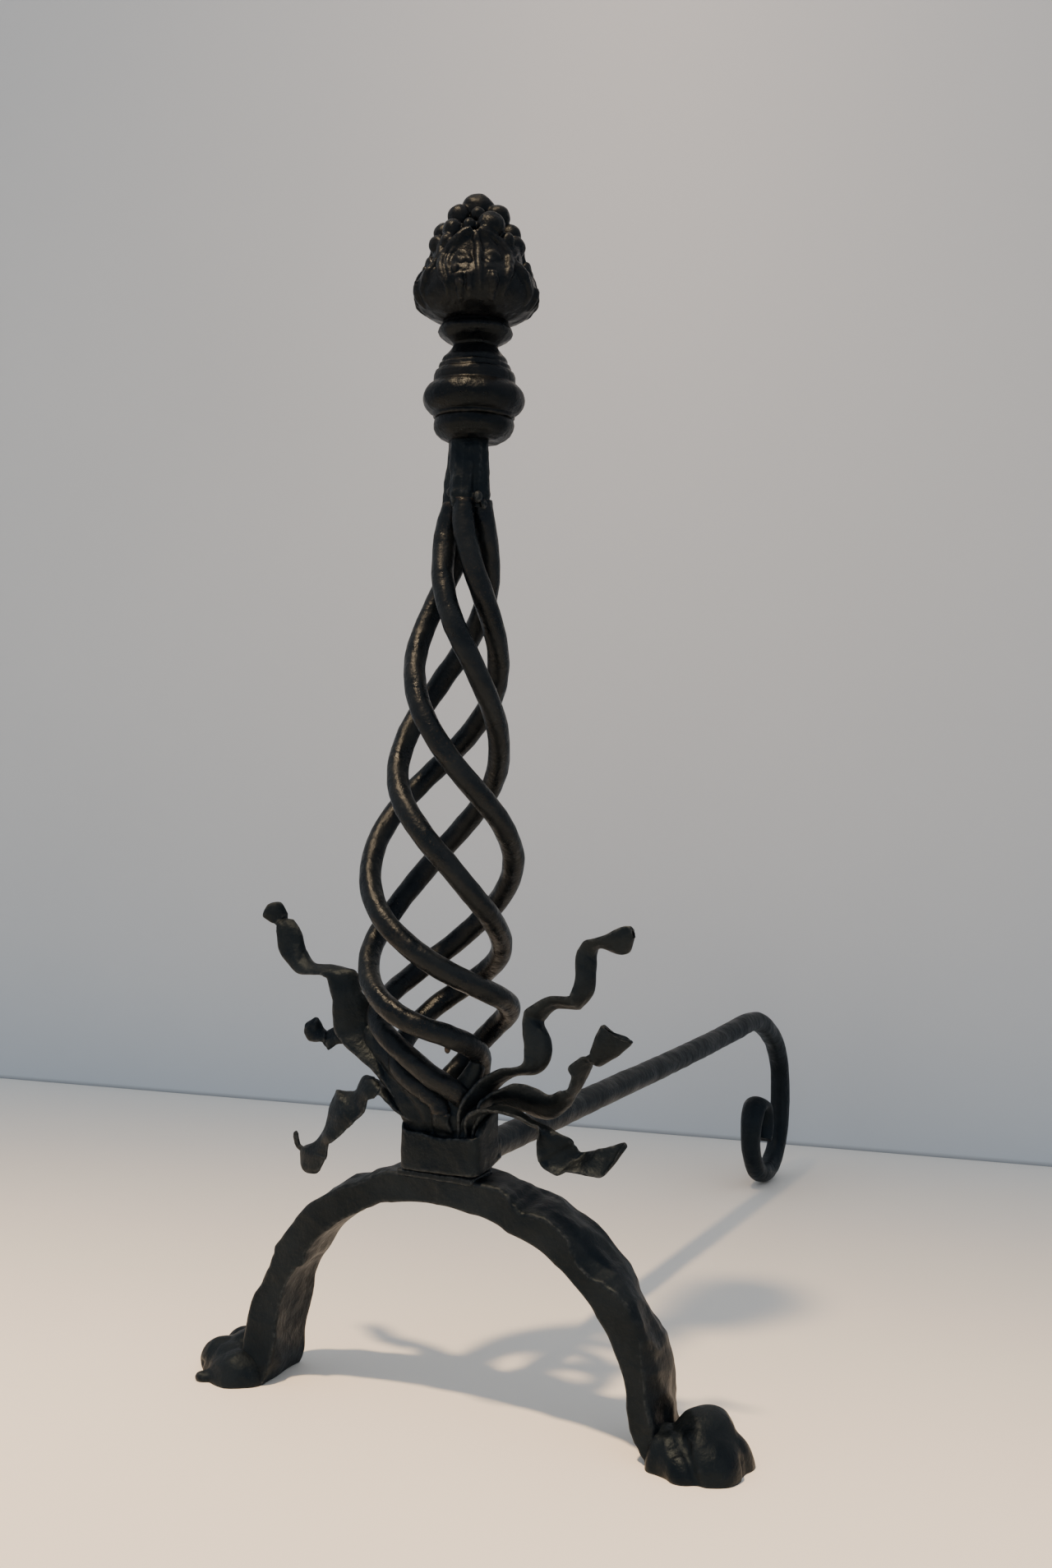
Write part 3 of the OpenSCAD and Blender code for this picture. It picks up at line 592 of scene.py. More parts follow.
# Plan of the strap's middle line, and the heights of its lower and upper edges
STRAP = [
    (-21.8, 7.4, 118.6, 140), (-22, 3, 118.4, 142.3), (-22.3, -2, 118.2, 142.8),
    (-22.3, -6.8, 118, 140.6), (-21.2, -9.6, 117.9, 138.2), (-18, -10.6, 117.8, 136.6),
    (-12, -10.7, 118, 136.8), (-7, -10.7, 118.3, 136), (-2, -10.6, 118.4, 135.2),
    (2, -10.6, 118.2, 135.4), (7, -10.6, 118.5, 136.2), (12, -10.6, 118.8, 136.6),
    (15.8, -10.5, 119, 136.8), (17.6, -9.4, 119.2, 138), (18.2, -7, 119.6, 141),
    (18.5, -2, 120.2, 144.5), (18.6, 3, 121, 147), (18.6, 7.4, 122, 147.6)]


def strap_shape(share, turn):
    """Flat strap on edge along the plan, between its two edges."""
    place = smooth(STRAP, share)
    back, front = smooth(STRAP, share - 0.004), smooth(STRAP, share + 0.004)
    along = Vector((front[0] - back[0], front[1] - back[1])).normalized()
    half = (place[3] - place[2]) / 2
    x, y = rounded(turn, STRAP_T / 2, half, 1.0)
    return place[0] + along.y * x, place[1] - along.x * x, (place[2] + place[3]) / 2 + y


strap = swept(170, 72, strap_shape)
hammered(strap, 8.5, 0.6, 0.55, 12.0)
finished("collar_strap", strap, IRON, "saddle_collar")


# ---------- the rear bar ----------
# Round bar of wrought iron that carries the logs. Its front end is forged flat into a tab that
# stands on the plate. Its rear end is bent down into a leg and rolled into a scroll, its foot.

BAR_R = 7.2
TAB_Y, TAB_T, TAB_LOW, TAB_TOP = 7.5, 4.5, 117, 145.5
# The bar reaches back no further than this
BACK_END = 532.9
# The bar is swollen over this length behind the tab, and drawn out flat from this share on
SWELL_LONG, TIP_START = 11, 0.9
# Middle line of the bar, in Y and Z: nearly level, then down the leg and into the scroll
BAR_TURNS = [
    (9.5, 121.5), (80, 121.8), (150, 122.3), (215, 122.9), (264, 123.1), (298, 123.7),
    (345, 124.4), (384, 125.2), (415, 126.5), (437, 127.4), (449, 127.2), (461, 125.6),
    (473, 122), (484.5, 117.2), (494.6, 111.6), (504.1, 105.2), (511.6, 97.6), (517.6, 89.5),
    (521.5, 81), (523.5, 72.5), (524.8, 64), (525.5, 55), (525.3, 46.7), (524.2, 38),
    (521.8, 30), (518, 22.4), (512.2, 15.6), (504.5, 10.4), (495, 7.6)]
# Middle line of the scroll, rolled up from the foot and over to its end
SCROLL = [
    (495, 7.6), (485.5, 8), (475.5, 11), (466.5, 16.6), (459.6, 25), (455.6, 35), (454.3, 45),
    (456.4, 54.5), (461.4, 61.3), (467.6, 63.2), (472.8, 60.2), (475.4, 54.2), (475.4, 47.6),
    (473.6, 41.4), (470.8, 36.4)]
bar_line = [tuple(smooth(BAR_TURNS, i / 150)) for i in range(150)]
bar_line += [tuple(smooth(SCROLL, i / 80)) for i in range(81)]
bar_steps = [0.0]
for (y, z), (q, r) in zip(bar_line, bar_line[1:]):
    bar_steps.append(bar_steps[-1] + hypot(q - y, r - z))


def on_line(line, steps, share):
    """Place on a drawn line at a share of its length, and its direction there."""
    goal = share * steps[-1]
    i = limit(bisect_right(steps, goal), 1, len(line) - 1)
    f = (goal - steps[i - 1]) / (steps[i] - steps[i - 1])
    a, b = Vector(line[max(i - 2, 0)]), Vector(line[i - 1])
    c, d = Vector(line[i]), Vector(line[min(i + 1, len(line) - 1)])
    return b.lerp(c, f), ((c - a).lerp(d - b, f)).normalized()


def bar_shape(share, turn):
    """Round bar with hammer marks, swollen at the tab and flat at the scroll's tip."""
    place, along = on_line(bar_line, bar_steps, share)
    angle = turn * 2 * pi
    radius = BAR_R * (1 - 0.02 * cos(4 * angle + share * 9))
    radius += 0.25 * wave(share * 60, cos(angle), sin(angle))
    taper = max(share - TIP_START, 0) / (1 - TIP_START)
    taper *= taper * (3 - 2 * taper)
    wide, thin = radius * (1 + 0.5 * taper), radius * (1 - 0.38 * taper)
    front = max(1 - share * bar_steps[-1] / SWELL_LONG, 0)
    wide, thin = wide + 3.2 * front ** 2, thin + 3.2 * front ** 2
    out = Vector((-along.y, along.x))
    spot = place + out * thin * sin(angle)
    return wide * cos(angle), min(spot.x, BACK_END), max(spot.y, 0.05)


bar = swept(620, 44, bar_shape)
hammered(bar, 11.0, 0.4, 0.3, 40.0)
for vert in bar.verts:
    vert.co.z = max(vert.co.z, 0.0)
    vert.co.y = min(vert.co.y, BACK_END)
finished("log_bar", bar, IRON, "rear_bar")


def tab_shape(share, turn):
    """Upright tab with a round top, thinner towards the top."""
    z = TAB_LOW + (TAB_TOP - TAB_LOW) * share
    rise = max(z - 125, 0)
    half = 20.5 if z < 127 else max((22.5 ** 2 - (z - 123) ** 2) ** 0.5, 3.0)
    half = min(half, 20.5, 15.5 + max(z - 119, 0))
    half *= 1 + 0.02 * wave(z / 5, 0, 9)
    x, y = rounded(turn, TAB_T / 2, half, 1.4)
    return y, TAB_Y + TAB_T / 2 + x * (1 - 0.012 * rise), z


tab = swept(60, 64, tab_shape)
hammered(tab, 8.0, 0.5)
finished("bar_tab", tab, IRON, "rear_bar")


# ---------- the root and the basket ----------
# Four round rods of wrought iron, twisted hot and then twisted back a little, so that they spring
# out into an open basket. They are welded together at both ends. In the collar the weld is drawn
# out into flat strands, which sweep up to the left.

# Radii of a rod and of the basket, and the basket's lower and upper end
ROD_R, BELLY_R, BASKET_Z0, BASKET_Z1 = 5.3, 33.5, 146.0, 437.0
# Turn of the first rod at the bottom in degrees, and the rods' furthest reach to the front
FIRST_TURN, FRONT_END = -9, -38.3
# Height as a share of the basket, turn in degrees, radius as a share of the largest one
BASKET = [
    (0, 0, 0.25), (0.02, 12, 0.27), (0.05, 42, 0.36), (0.085, 78, 0.48), (0.125, 118, 0.68),
    (0.172, 162, 0.97), (0.227, 208, 1), (0.3, 257, 0.98), (0.36, 292, 1), (0.43, 327, 0.99),
    (0.5, 362, 0.9), (0.58, 405, 0.77), (0.66, 445, 0.69), (0.735, 483, 0.6), (0.82, 529, 0.46),
    (0.9, 575, 0.33), (0.955, 603, 0.265), (1, 612, 0.19)]
# How far the four rods stray from that, level along STRAY_WAY and upwards, for rod 1 to rod 4
STRAY = [
    (1.1, 0.7, 1.8, -1.8, -1.5, -0.7, -0.7, 0.2), (1.6, 1, 3.1, -1.9, -3.8, -1.6, -1.2, -1),
    (2.1, 1.3, 4.3, -2, -6.1, -2.4, -1.7, -2.2), (2.3, 1.4, 5.1, -1.7, -7.9, -3.1, -2, -3.3),
    (1.8, 1.3, 4.8, -0.7, -8.5, -3.3, -2, -4.2), (1.5, 0.3, 3.7, 0.7, -7.2, -2.7, -1.2, -4.4),
    (0.6, -2.3, 2.6, 1.9, -5.8, -1.3, -0.5, -4.8), (-0.3, -5, 1.4, 1.9, -5.3, 1.3, 0.2, -5.3),
    (-0.3, -6.1, -0.3, -0.2, -4.2, 2.7, 0.8, -5.4), (0, -6.2, -1.7, -3.1, -2.5, 2.4, 1.3, -5),
    (0.3, -5.6, -1.6, -4.2, -1.7, 1.4, 1.5, -3.7), (-0.2, -4.1, -0.7, -4.2, -0.7, 0.8, 1.7, -2.6),
    (-1.4, -2.1, 0.4, -3.7, 0.7, 0.7, 1.7, -1.9), (-1.9, -0.6, 0.7, -2.8, 1.6, 0.3, 1, -1.6),
    (-1.5, 0, 0.6, -2, 2.2, -0.6, -0.1, -1.9), (-0.9, 0.1, 1.1, -2.1, 2.6, -1.7, -1, -2.2),
    (-0.8, 0.2, 1.9, -2.8, 3.1, -2.7, -1.2, -2.3), (-0.4, 0.4, 1.8, -3.2, 3.1, -3, -0.8, -2.1),
    (0.4, 1, 0.7, -3.1, 2.6, -2.7, -0.6, -1.7), (0.6, 1.4, -0.3, -2.4, 2, -2, -0.9, -1),
    (0.3, 1.7, -0.2, -1.3, 1.3, -0.9, -1.5, -0.2), (-0.3, 2.1, 0, -0.1, 0.4, 0.4, -1.7, 0.4),
    (-0.6, 2.6, 0.2, 1.1, -0.7, 1.9, -1.5, 0.7), (-0.7, 3.3, 0.4, 2.4, -1.6, 3.6, -1.3, 1.1)]
STRAY_TURN = radians(26.5)
STRAY_WAY = Vector((cos(STRAY_TURN), sin(STRAY_TURN), 0))
# Level and square to that, towards the camera
FACING = Vector((sin(STRAY_TURN), -cos(STRAY_TURN), 0))

# The rods are rubbed brighter and browner than the rest: partly wear, partly painted highlight
# that stands in for the pale gold glints of the lamps on them
ROD_IRON = iron_finish("rod_iron", (0.0014, 0.0026, 0.0042), (0.006, 0.0082, 0.0106),
                       (0.05, 0.038, 0.026), 0.3, 0.17, (0.72, 0.84, 0.96, 1))


def rod_axis(number, place):
    """Place on the middle line of a rod, numbered from 1 to 4, from its bottom at 0 to 1."""
    share, turned_by, size = smooth(BASKET, place)
    angle = radians(FIRST_TURN + 90 * number - turned_by)
    lean = 11 * max(sin(pi * max(share, 0) ** 0.65), 0) ** 1.5
    free = max(min((place - 0.05) / 0.13, (1 - place) / 0.06, 1), 0)
    level_stray, rise = smooth(STRAY, place)[2 * number - 2:2 * number]
    regular = Vector((BELLY_R * size * cos(angle) - lean, BELLY_R * size * sin(angle),
                      BASKET_Z0 + (BASKET_Z1 - BASKET_Z0) * share))
    stray = level_stray * STRAY_WAY + Vector((0, 0, rise))
    return regular + stray * free * free * (3 - 2 * free)


def rod_shape(number):
    """Round rod along its middle line, upright at both ends."""
    def shape(share, turn):
        here = rod_axis(number, share)
        along = (rod_axis(number, min(share + 0.003, 1)) - rod_axis(number, max(share - 0.003, 0)))
        along = along.normalized() if 0 < share < 1 else Vector((0, 0, 1))
        ends = min(share, 1 - share) / 0.02
        if ends < 1:
            along = Vector((0, 0, 1)).lerp(along, max(ends, 0)).normalized()
        side = Vector((0, 1, 0)).cross(along).normalized()
        other = along.cross(side)
        angle = turn * 2 * pi
        radius = ROD_R * (1 + 0.018 * cos(3 * angle + share * 40 + number))
        radius += 0.3 * wave(share * 55 + 9 * number, cos(angle), sin(angle))
        spot = here + radius * (cos(angle) * side + sin(angle) * other)
        spot.y = max(spot.y, FRONT_END)
        return spot
    return shape


for number in range(1, 5):
    rod = swept(460, 28, rod_shape(number))
    hammered(rod, 7.5, 0.3)
    # A drop of iron sits on the first rod
    if number == 1:
        blob(rod, (7.6, -21.4, 179.8), (1.5, 1.3, 2.2))
    finished(f"rod_{number}", rod, ROD_IRON, f"basket_rod_{number}")


# Lower end and height of the block, and how far forward strands and bands reach inside the collar
BLOCK_LOW, BLOCK_TALL, STRAND_FRONT, BAND_FRONT = 117.2, 21.5, -8.8, -8.4
STRAND_LOW = 119


def block_shape(share, turn):
    """Block of welded iron that fills the collar."""
    slim = 1 - 0.3 * (max(share - 0.7, 0) / 0.3) ** 2
    x, y = rounded(turn, 16.8 * slim, 7.6 * slim, 3.0)
    swell = 1.2 * wave(x / 5, y / 5, 0)
    return x - 1.4, y - 1, BLOCK_LOW + BLOCK_TALL * share + swell


def joined(mesh, *parts):
    """Moves other meshes into one."""
    for part in parts:
        data = bpy.data.meshes.new("part")
        part.to_mesh(data)
        part.free()
        mesh.from_mesh(data)
        bpy.data.meshes.remove(data)


def strand_shape(number):
    """Lower end of a rod, from the block up to the basket."""
    def shape(share, turn):
        z = STRAND_LOW + (BASKET_Z0 + 1.5 - STRAND_LOW) * share
        start = rod_axis(number, 0)
        angle = radians(FIRST_TURN + 90 * number + (BASKET_Z0 - z) * 1.6)
        reach = 8.38 - 2.2 * (1 - share)
        x, y = reach * cos(angle), reach * sin(angle)
        x = limit(x, -5.6, 5.6) * (1 - share) + start.x * share
        y = y * (1 - share) + start.y * share
        ring = turn * 2 * pi
        front = STRAND_FRONT - 0.6 * max(z - 137, 0)
        return x + ROD_R * cos(ring), limit(y + ROD_R * sin(ring), front, 7.4 + 6 * share), z
    return shape


# Flattened strands that sweep from the collar up to the left, where the leaf and the rods part:
# place from the stem's axis, then half width and half thickness
STRANDS = [
    [(-55.4, 0, 178, 1, 0.8), (-48.6, -2.4, 170.2, 2.8, 2.2), (-40, -4, 162.4, 3, 2.6),
     (-29.6, -5.6, 153.2, 3.2, 2.8), (-22, -6.2, 143.5, 3.4, 2.8), (-18.8, -5, 136, 4, 2.4),
     (-16, -4, 127.1, 4, 2)],
    [(-54.8, 2, 184.8, 1, 0.8), (-46.5, -0.6, 177.5, 4.4, 2.2), (-34.3, -3.6, 169.3, 5.8, 3),
     (-22.5, -5.4, 161, 6, 3.4), (-12.5, -6.4, 152.5, 6, 3.6), (-8.2, -6, 143.4, 5.4, 3.2),
     (-8.1, -4, 130, 4, 2)],
    [(-42.4, 1, 182.3, 1.2, 0.8), (-31.9, -1.6, 176.3, 3.8, 2.4), (-21.1, -4, 168.9, 5, 3),
     (-10.4, -5, 160.5, 5.2, 3.4), (-2.6, -6, 152.9, 5, 3.4), (0.8, -6, 144.3, 5, 3),
     (0.9, -4, 131, 4, 2)],
    [(-13.1, -3, 156.3, 3, 3), (-3.6, -4, 154.4, 4.6, 3.6), (3.6, -5, 150.3, 5, 3.6),
     (6.9, -5, 142.7, 5, 3), (6.4, -4, 131.6, 4, 2)],
    [(13.2, -2, 173.4, 3, 3), (12.1, -2, 167.4, 4.6, 3.6), (7.9, -2.6, 159.2, 6, 3.8),
     (3.7, -3, 151.9, 7, 3.8), (3.1, -4, 143.1, 7, 3.2), (2, -4, 131.1, 5, 2)],
    [(-58, 3, 186.5, 1, 0.8), (-50.5, 1.2, 178.2, 4.4, 2.4), (-38, -1, 169, 7, 3),
     (-26.5, -3, 160, 9, 3.4), (-17, -4, 150, 12, 4), (-9.1, -3.6, 141.5, 13, 4),
     (-3.5, -3, 132.1, 12, 3)],
    [(16.7, 1.4, 161.2, 3, 3), (12.4, 0, 155, 7, 4), (9, -1.4, 148, 10, 5),
     (8.6, -1.6, 141.5, 11, 5.6), (9, -1, 131.2, 10, 4)]]


def band_shape(line):
    """Flattened strand through rows of STRANDS. Inside the collar it keeps behind the front."""
    def shape(share, turn):
        here, there = smooth(line, share), smooth(line, min(share + 0.01, 1))
        behind = smooth(line, max(share - 0.01, 0))
        middle, along = Vector(here[:3]), Vector(there[:3]) - Vector(behind[:3])
        side = along.cross(FACING).normalized()
        angle = turn * 2 * pi
        deep = here[4] * (1 + 0.25 * wave(share * 7, line[0][0], 0))
        made = (middle + here[3] * cos(angle) * side
                + deep * sin(angle) * along.cross(side).normalized())
        made.y = max(made.y, BAND_FRONT - 0.6 * max(made.z - 139, 0))
        return made
    return shape


root = swept(40, 48, block_shape)
joined(root, *[swept(40, 28, strand_shape(number)) for number in range(1, 5)])
joined(root, *[swept(70, 32, band_shape(line)) for line in STRANDS])
root = melted(root, 0.6, 6)
hammered(root, 6.0, 0.5, 0.2, 8.0)
finished("root_of_stem", root, IRON, "stem_root")


# ---------- the neck ----------
# The same four rods of wrought iron, forge-welded into one shaft. The hammer has left long facets
# and grooves between the rods, and lumps of weld where they part.

# Heights at which the castings start, and the top of the finial
LOWER_Z, KNOP_Z, SPOOL_Z, FINIAL_Z, TOP_Z = 465.0, 475.5, 509.5, 521.0, 582.0
# Height over which the rods merge, height of the ring of weld, and the rods' way off the axis
MERGE_TALL, WELD_Z, ROD_OFF = 28, 439.5, 6.1
# Lumps of weld: across, towards the camera, height above the floor and radius
WELD_LUMPS = [
    (-6.4, 8, 436.5, 1.9), (4.6, 9.3, 437.5, 2.1), (-8.6, 5, 440, 1.5), (7.4, 7, 434.5, 1.7),
    (-3, 10, 441.5, 1.2), (1, -10, 438, 2), (-9, -5, 437, 1.8)]


def facing_camera(across, near, z):
    """Place at a distance to the right and towards the camera from the stem's axis."""
    return across * STRAY_WAY + near * FACING + Vector((0, 0, z))


def neck_shape(share, turn):
    """Four rods side by side below, one faceted shaft above, with a ring of weld between."""
    z = BASKET_Z1 - 4 + (LOWER_Z + 5.5 - BASKET_Z1) * share
    angle = turn * 2 * pi
    up = limit((z - BASKET_Z1) / MERGE_TALL)
    # Angle from the middle of the nearest rod, which still turns a little on the way up
    twist = radians(FIRST_TURN - BASKET[-1][1] - 14 * up)
    off = (angle - twist + pi / 4) % (pi / 2) - pi / 4
    lobe = ROD_OFF * cos(off) + max(ROD_R ** 2 - (ROD_OFF * sin(off)) ** 2, 4) ** 0.5
    soft = 10.5 - 1.1 * up - 0.5 * (abs(off) / (pi / 4)) ** 2
    keep = max(1 - up * 1.8, 0) ** 0.8
    weld = 0.5 + wave(angle * 1.5, 0, 3)
    weld *= 0.7 * exp(-((z - WELD_Z) / 1.8) ** 2)
    radius = (lobe - 0.35) * keep + soft * (1 - keep) + weld
    radius += 0.5 * wave(cos(angle) * 2, sin(angle) * 2, z / 6)
    # Long narrow facets from the hammer
    radius += 0.9 * wave(cos(angle) * 3.2, sin(angle) * 3.2, z / 30)
    radius += 0.45
    return Vector((radius * cos(angle), radius * sin(angle), z)) - (0.9 - 0.4 * up) * STRAY_WAY


neck = swept(80, 110, neck_shape)
for across, near, z, size in WELD_LUMPS:
    blob(neck, facing_camera(across, near, z), (size, size, 1.4 * size), 20)
neck = melted(neck, 0.5, 2)
hammered(neck, 5.5, 0.4, 0.35, 7.0)
finished("welded_neck", neck, IRON, "neck_shaft")


# ---------- the turned rings ----------
# Three iron castings threaded over the spigot: a rounded ring, the knop with its torus and steps,
# and the ring under the finial. Bronzed almost black, with the high places rubbed a little paler.

BRONZED = iron_finish("bronzed_casting", (0.0012, 0.0018, 0.0028), (0.0054, 0.0062, 0.0074),
                      (0.014, 0.0144, 0.0148), 0.31, 0.12, (0.66, 0.84, 1.0, 1))

# The castings stand a little off the stem's axis, towards the right of the photograph
ASIDE = 1.5 * STRAY_WAY


def bead_line(x, z, radius, low, high, steps=14):
    """Outline of a round moulding, from a lower to an upper angle."""
    return [(x + radius * cos(radians(low + i * (high - low) / steps)),
             z + radius * sin(radians(low + i * (high - low) / steps)))
            for i in range(steps + 1)]


def spun(outline, steps, merge):
    """Outline of radius and height, turned about the stem's axis in steps and closed."""
    mesh = bmesh.new()
    verts = [mesh.verts.new((r, 0, z)) for r, z in outline]
    edges = [mesh.edges.new(pair) for pair in zip(verts, verts[1:])]
    bmesh.ops.spin(mesh, geom=verts + edges, cent=(0, 0, 0), axis=(0, 0, 1), angle=2 * pi,
                   steps=steps, use_merge=True, use_duplicate=False)
    bmesh.ops.remove_doubles(mesh, verts=mesh.verts, dist=merge)
    closed(mesh)
    return mesh


def turned_ring(name, node, base, outline, wobble, dents):
    """Ring spun from an outline above its base, then knocked a little out of true."""
    fine = [outline[0]]
    for (r, z), (s, t) in zip(outline, outline[1:]):
        count = max(int(hypot(s - r, t - z) / 0.55), 1)
        fine += [(r + (s - r) * i / count, z + (t - z) * i / count) for i in range(1, count + 1)]
    mesh = spun([(r, base + z) for r, z in fine], 160, 0.002)
    for face in mesh.faces:
        face.smooth = True
    for vert in mesh.verts:
        angle = atan2(vert.co.y, vert.co.x)
        ring = Vector((cos(angle), sin(angle), vert.co.z / 14))
        vert.co.xy *= 1 + wobble * noise.noise(ring * 1.4)
        vert.co.z += 10 * wobble * noise.noise(ring + Vector((5, 5, 5)))
        vert.co += ASIDE
    hammered(mesh, 6.0, dents, 0.35, 9.0)
    finished(name, mesh, BRONZED, node, slot="bronzed_casting")


turned_ring("ring_under_knop", "lower_collar", LOWER_Z,
            [(5, 0), (12.6, 0), (13.4, 0.4), (15.6, 1.4), (17.6, 3.2), (18.8, 5.6), (19.1, 7.6),
             (18.9, 9.4), (18.3, 10.5), (5, 10.6)], 0.03, 0.35)
turned_ring("turned_knop", "knop", KNOP_Z,
            [(5, 0), (18.4, 0), (19.3, 0.5), (19.5, 1.5), (19.1, 2.0)]
            + bead_line(16.3, 9.3, 7.9, -62, 62, 18)
            + [(19.4, 17.1), (19.7, 18.2), (19.6, 20.4), (18.9, 21.9), (17.8, 22.7), (17.2, 23.3),
               (17.5, 24.2), (17.1, 25.2), (15.9, 25.8), (15.7, 26.4), (15.9, 27.4), (15.3, 28.6),
               (13.6, 30.2), (12.1, 31.8), (11, 33.2), (10.6, 34), (5, 34)],
            0.035, 0.4)
turned_ring("ring_under_finial", "spool_ring", SPOOL_Z,
            [(4, 0), (10.4, 0), (10.7, 1.2), (12.2, 2.2), (15, 3.6), (17, 5.4), (17.8, 7.0),
             (17.3, 8.6), (16.2, 9.8), (15.9, 10.6), (15.6, 11.5), (4, 11.5)], 0.04, 0.4)


# ---------- the finial and its stud ----------
# Cast iron bud screwed on a steel stud: a swelling cup with four curled acanthus leaves, and a
# bunch of round beads that rises out of them to one large bead on top.

# Radius and height of the cup above its base
CUP = [(15.6, 0), (18.5, 1), (21.2, 2.3), (24.6, 4.4), (26.8, 7), (28, 10), (28.2, 12.7),
       (27.7, 16), (26.6, 19), (24, 22.5), (21.6, 26), (20, 30), (18, 34), (15.2, 38), (11.8, 42),
       (8.6, 46), (5.6, 50), (2.6, 53.4), (0.3, 54.6)]


def cup_radius(z):
    """Radius of the cup at a height above its base."""
    i = limit(bisect_right([high for _, high in CUP], z), 1, len(CUP) - 1)
    f = limit((z - CUP[i - 1][1]) / (CUP[i][1] - CUP[i - 1][1]))
    return smooth(CUP, (i - 1 + f) / (len(CUP) - 1))[0]


def on_cup(middle, across, z, lift):
    """Place on the cup at a distance across a leaf's middle line, lifted off the cup."""
    radius = cup_radius(z) + lift
    angle = radians(middle) + across / max(radius, 8.0)
    return Vector((radius * cos(angle), radius * sin(angle), FINIAL_Z + z))


bud = spun([(0.2, FINIAL_Z)] + [(cup_radius(i / 2), FINIAL_Z + i / 2) for i in range(110)],
           120, 0.01)


def acanthus(middle):
    """Leaf that lies on the cup and curls outwards at its tip."""
    # Height, half width, lift off the cup
    rows = [(7, 11, -0.9), (11, 14, -0.2), (15, 16.2, 0.2), (20, 17, 0.4), (25, 16.6, 0.5),
            (29, 14.2, 0.7), (32.5, 9.8, 1.3), (35, 6.6, 2.6), (37, 4.4, 3.8), (38.6, 2.2, 3.6)]

    def shape(share, turn):
        z, half, lift = smooth(rows, share)
        x, y = rounded(turn, 1.0, 1.0, 0.6)
        hollow = 0.7 * (y * y - 0.5) * min(share * 4, 1)
        return on_cup(middle, half * y, z - 1.2 * y * y, lift + hollow + 0.9 * x)
    return shape


def cord(middle, line):
    """Round rib cast on the cup, through places of across, height, lift and radius."""
    def shape(share, turn):
        across, z, lift, radius = smooth(line, share)
        back, front = smooth(line, share - 0.02), smooth(line, share + 0.02)
        here = on_cup(middle, across, z, lift)
        along = (on_cup(middle, *front[:3]) - on_cup(middle, *back[:3])).normalized()
        side = along.cross(Vector((here.x, here.y, 0)).normalized()).normalized()
        angle = turn * 2 * pi
        radius *= 1.2 + 0.3 * wave(share * 6, middle, line[0][0])
        return here + radius * (cos(angle) * side + sin(angle) * side.cross(along))
    return shape


# Ribs of one leaf: the midrib, the rolled rims on both sides, and the flutes below
MIDRIB = [(-0.5, 37.6, 4.4, 1.2), (0.2, 34.5, 2.6, 1.7), (1, 31, 1.2, 1.8), (1.6, 26, 0.8, 1.9),
          (2, 20, 0.5, 1.7), (2.6, 14, 0.2, 1.3), (3.2, 8, -0.3, 0.8)]
LEFT_RIM = [(-1.5, 38, 4.2, 1.5), (-5.6, 36, 3.2, 2), (-9.6, 32.4, 1.8, 2), (-14, 29, 1, 1.9),
            (-16.6, 24, 0.6, 1.9), (-16.2, 17.5, 0.4, 1.8), (-13, 10.5, -0.2, 1.4),
            (-12, 5.5, -1, 0.8)]
RIGHT_RIM = [(1, 38, 4.2, 1.5), (5, 36.6, 3.4, 1.9), (10.2, 34, 1.6, 1.9), (15, 29.5, 1, 2),
             (17, 24, 0.6, 2), (16.8, 17, 0.3, 1.8), (14.4, 10, -0.3, 1.4), (13, 5, -1, 0.8)]
INNER_RIM = [(-4, 34, 1.6, 1), (-9, 30, 1, 1.2), (-12.6, 25, 0.8, 1.2), (-12.8, 19, 0.5, 1.2),
             (-10.4, 13.5, 0, 0.9)]
FLUTES = [[(-7, 15, 0.6, 1.9), (-6.4, 10, 0.1, 1.8), (-6, 5, -0.8, 1)],
          [(-2, 15.5, 0.4, 1.5), (-2, 10, 0, 1.4), (-2, 6, -0.8, 0.8)],
          [(8.6, 16.5, 0.6, 2), (8.6, 10, 0.1, 1.8), (8, 5, -0.8, 1)]]
# Across, height, and radii across and upwards, of the two swollen pads between the ribs
PADS = [(-6, 21.4, 4.9, 6.2), (8, 22.8, 4.8, 5.6)]
for middle in (-64, 26, 116, 206):
    joined(bud, swept(60, 64, acanthus(middle)))
    for line in (MIDRIB, LEFT_RIM, RIGHT_RIM, INNER_RIM, *FLUTES):
        joined(bud, swept(60, 16, cord(middle, line)))
    for across, z, wide, tall in PADS:
        turned = middle + across * 2.3
        blob(bud, on_cup(middle, across, z, -0.4), (2.3, wide, tall), turned)
        for i in range(4):
            off = Vector((i * 2.7, middle, across))
            side = across + 0.75 * wide * 2 * noise.noise(off)
            high = z + 0.75 * tall * 2 * noise.noise(off + Vector((0, 0, 7)))
            size = 1.2 + 0.8 * abs(noise.noise(off + Vector((9, 0, 0))))
            blob(bud, on_cup(middle, side, high, 1.3), (size, 1.1 * size, 1.3 * size), turned)
BEAD_SWELL = 1.1
# Beads: across, towards the camera, height above the floor and radius before they swell
BEADS = [
    (-8.6, 4, 569.2, 5.3), (9.2, 3.4, 569.6, 5.4), (5.2, -7.4, 569.2, 5.2), (-5.2, -8, 569.4, 5),
    (0.4, 9, 568.8, 3.4), (-16, 1.4, 562.4, 4.6), (-11, 11.4, 560.6, 4.9), (-3.4, 14.4, 562, 3.2),
    (6.4, 13.6, 562.2, 6.1), (15.4, 4, 561.6, 4.5), (13.4, -8.8, 561.4, 5), (4, -15.2, 561.8, 5.3),
    (-6.4, -14.6, 561.2, 5), (-14, -8.2, 561.8, 4.8), (-18.4, 6.6, 555.4, 3.9),
    (18.2, 6.8, 555, 4.2), (14.2, 13.2, 555.4, 3.6), (14.6, -13, 554.8, 4.4),
    (-14.4, -13.4, 555, 4.4), (-13.4, 14.6, 554.8, 3.2)]
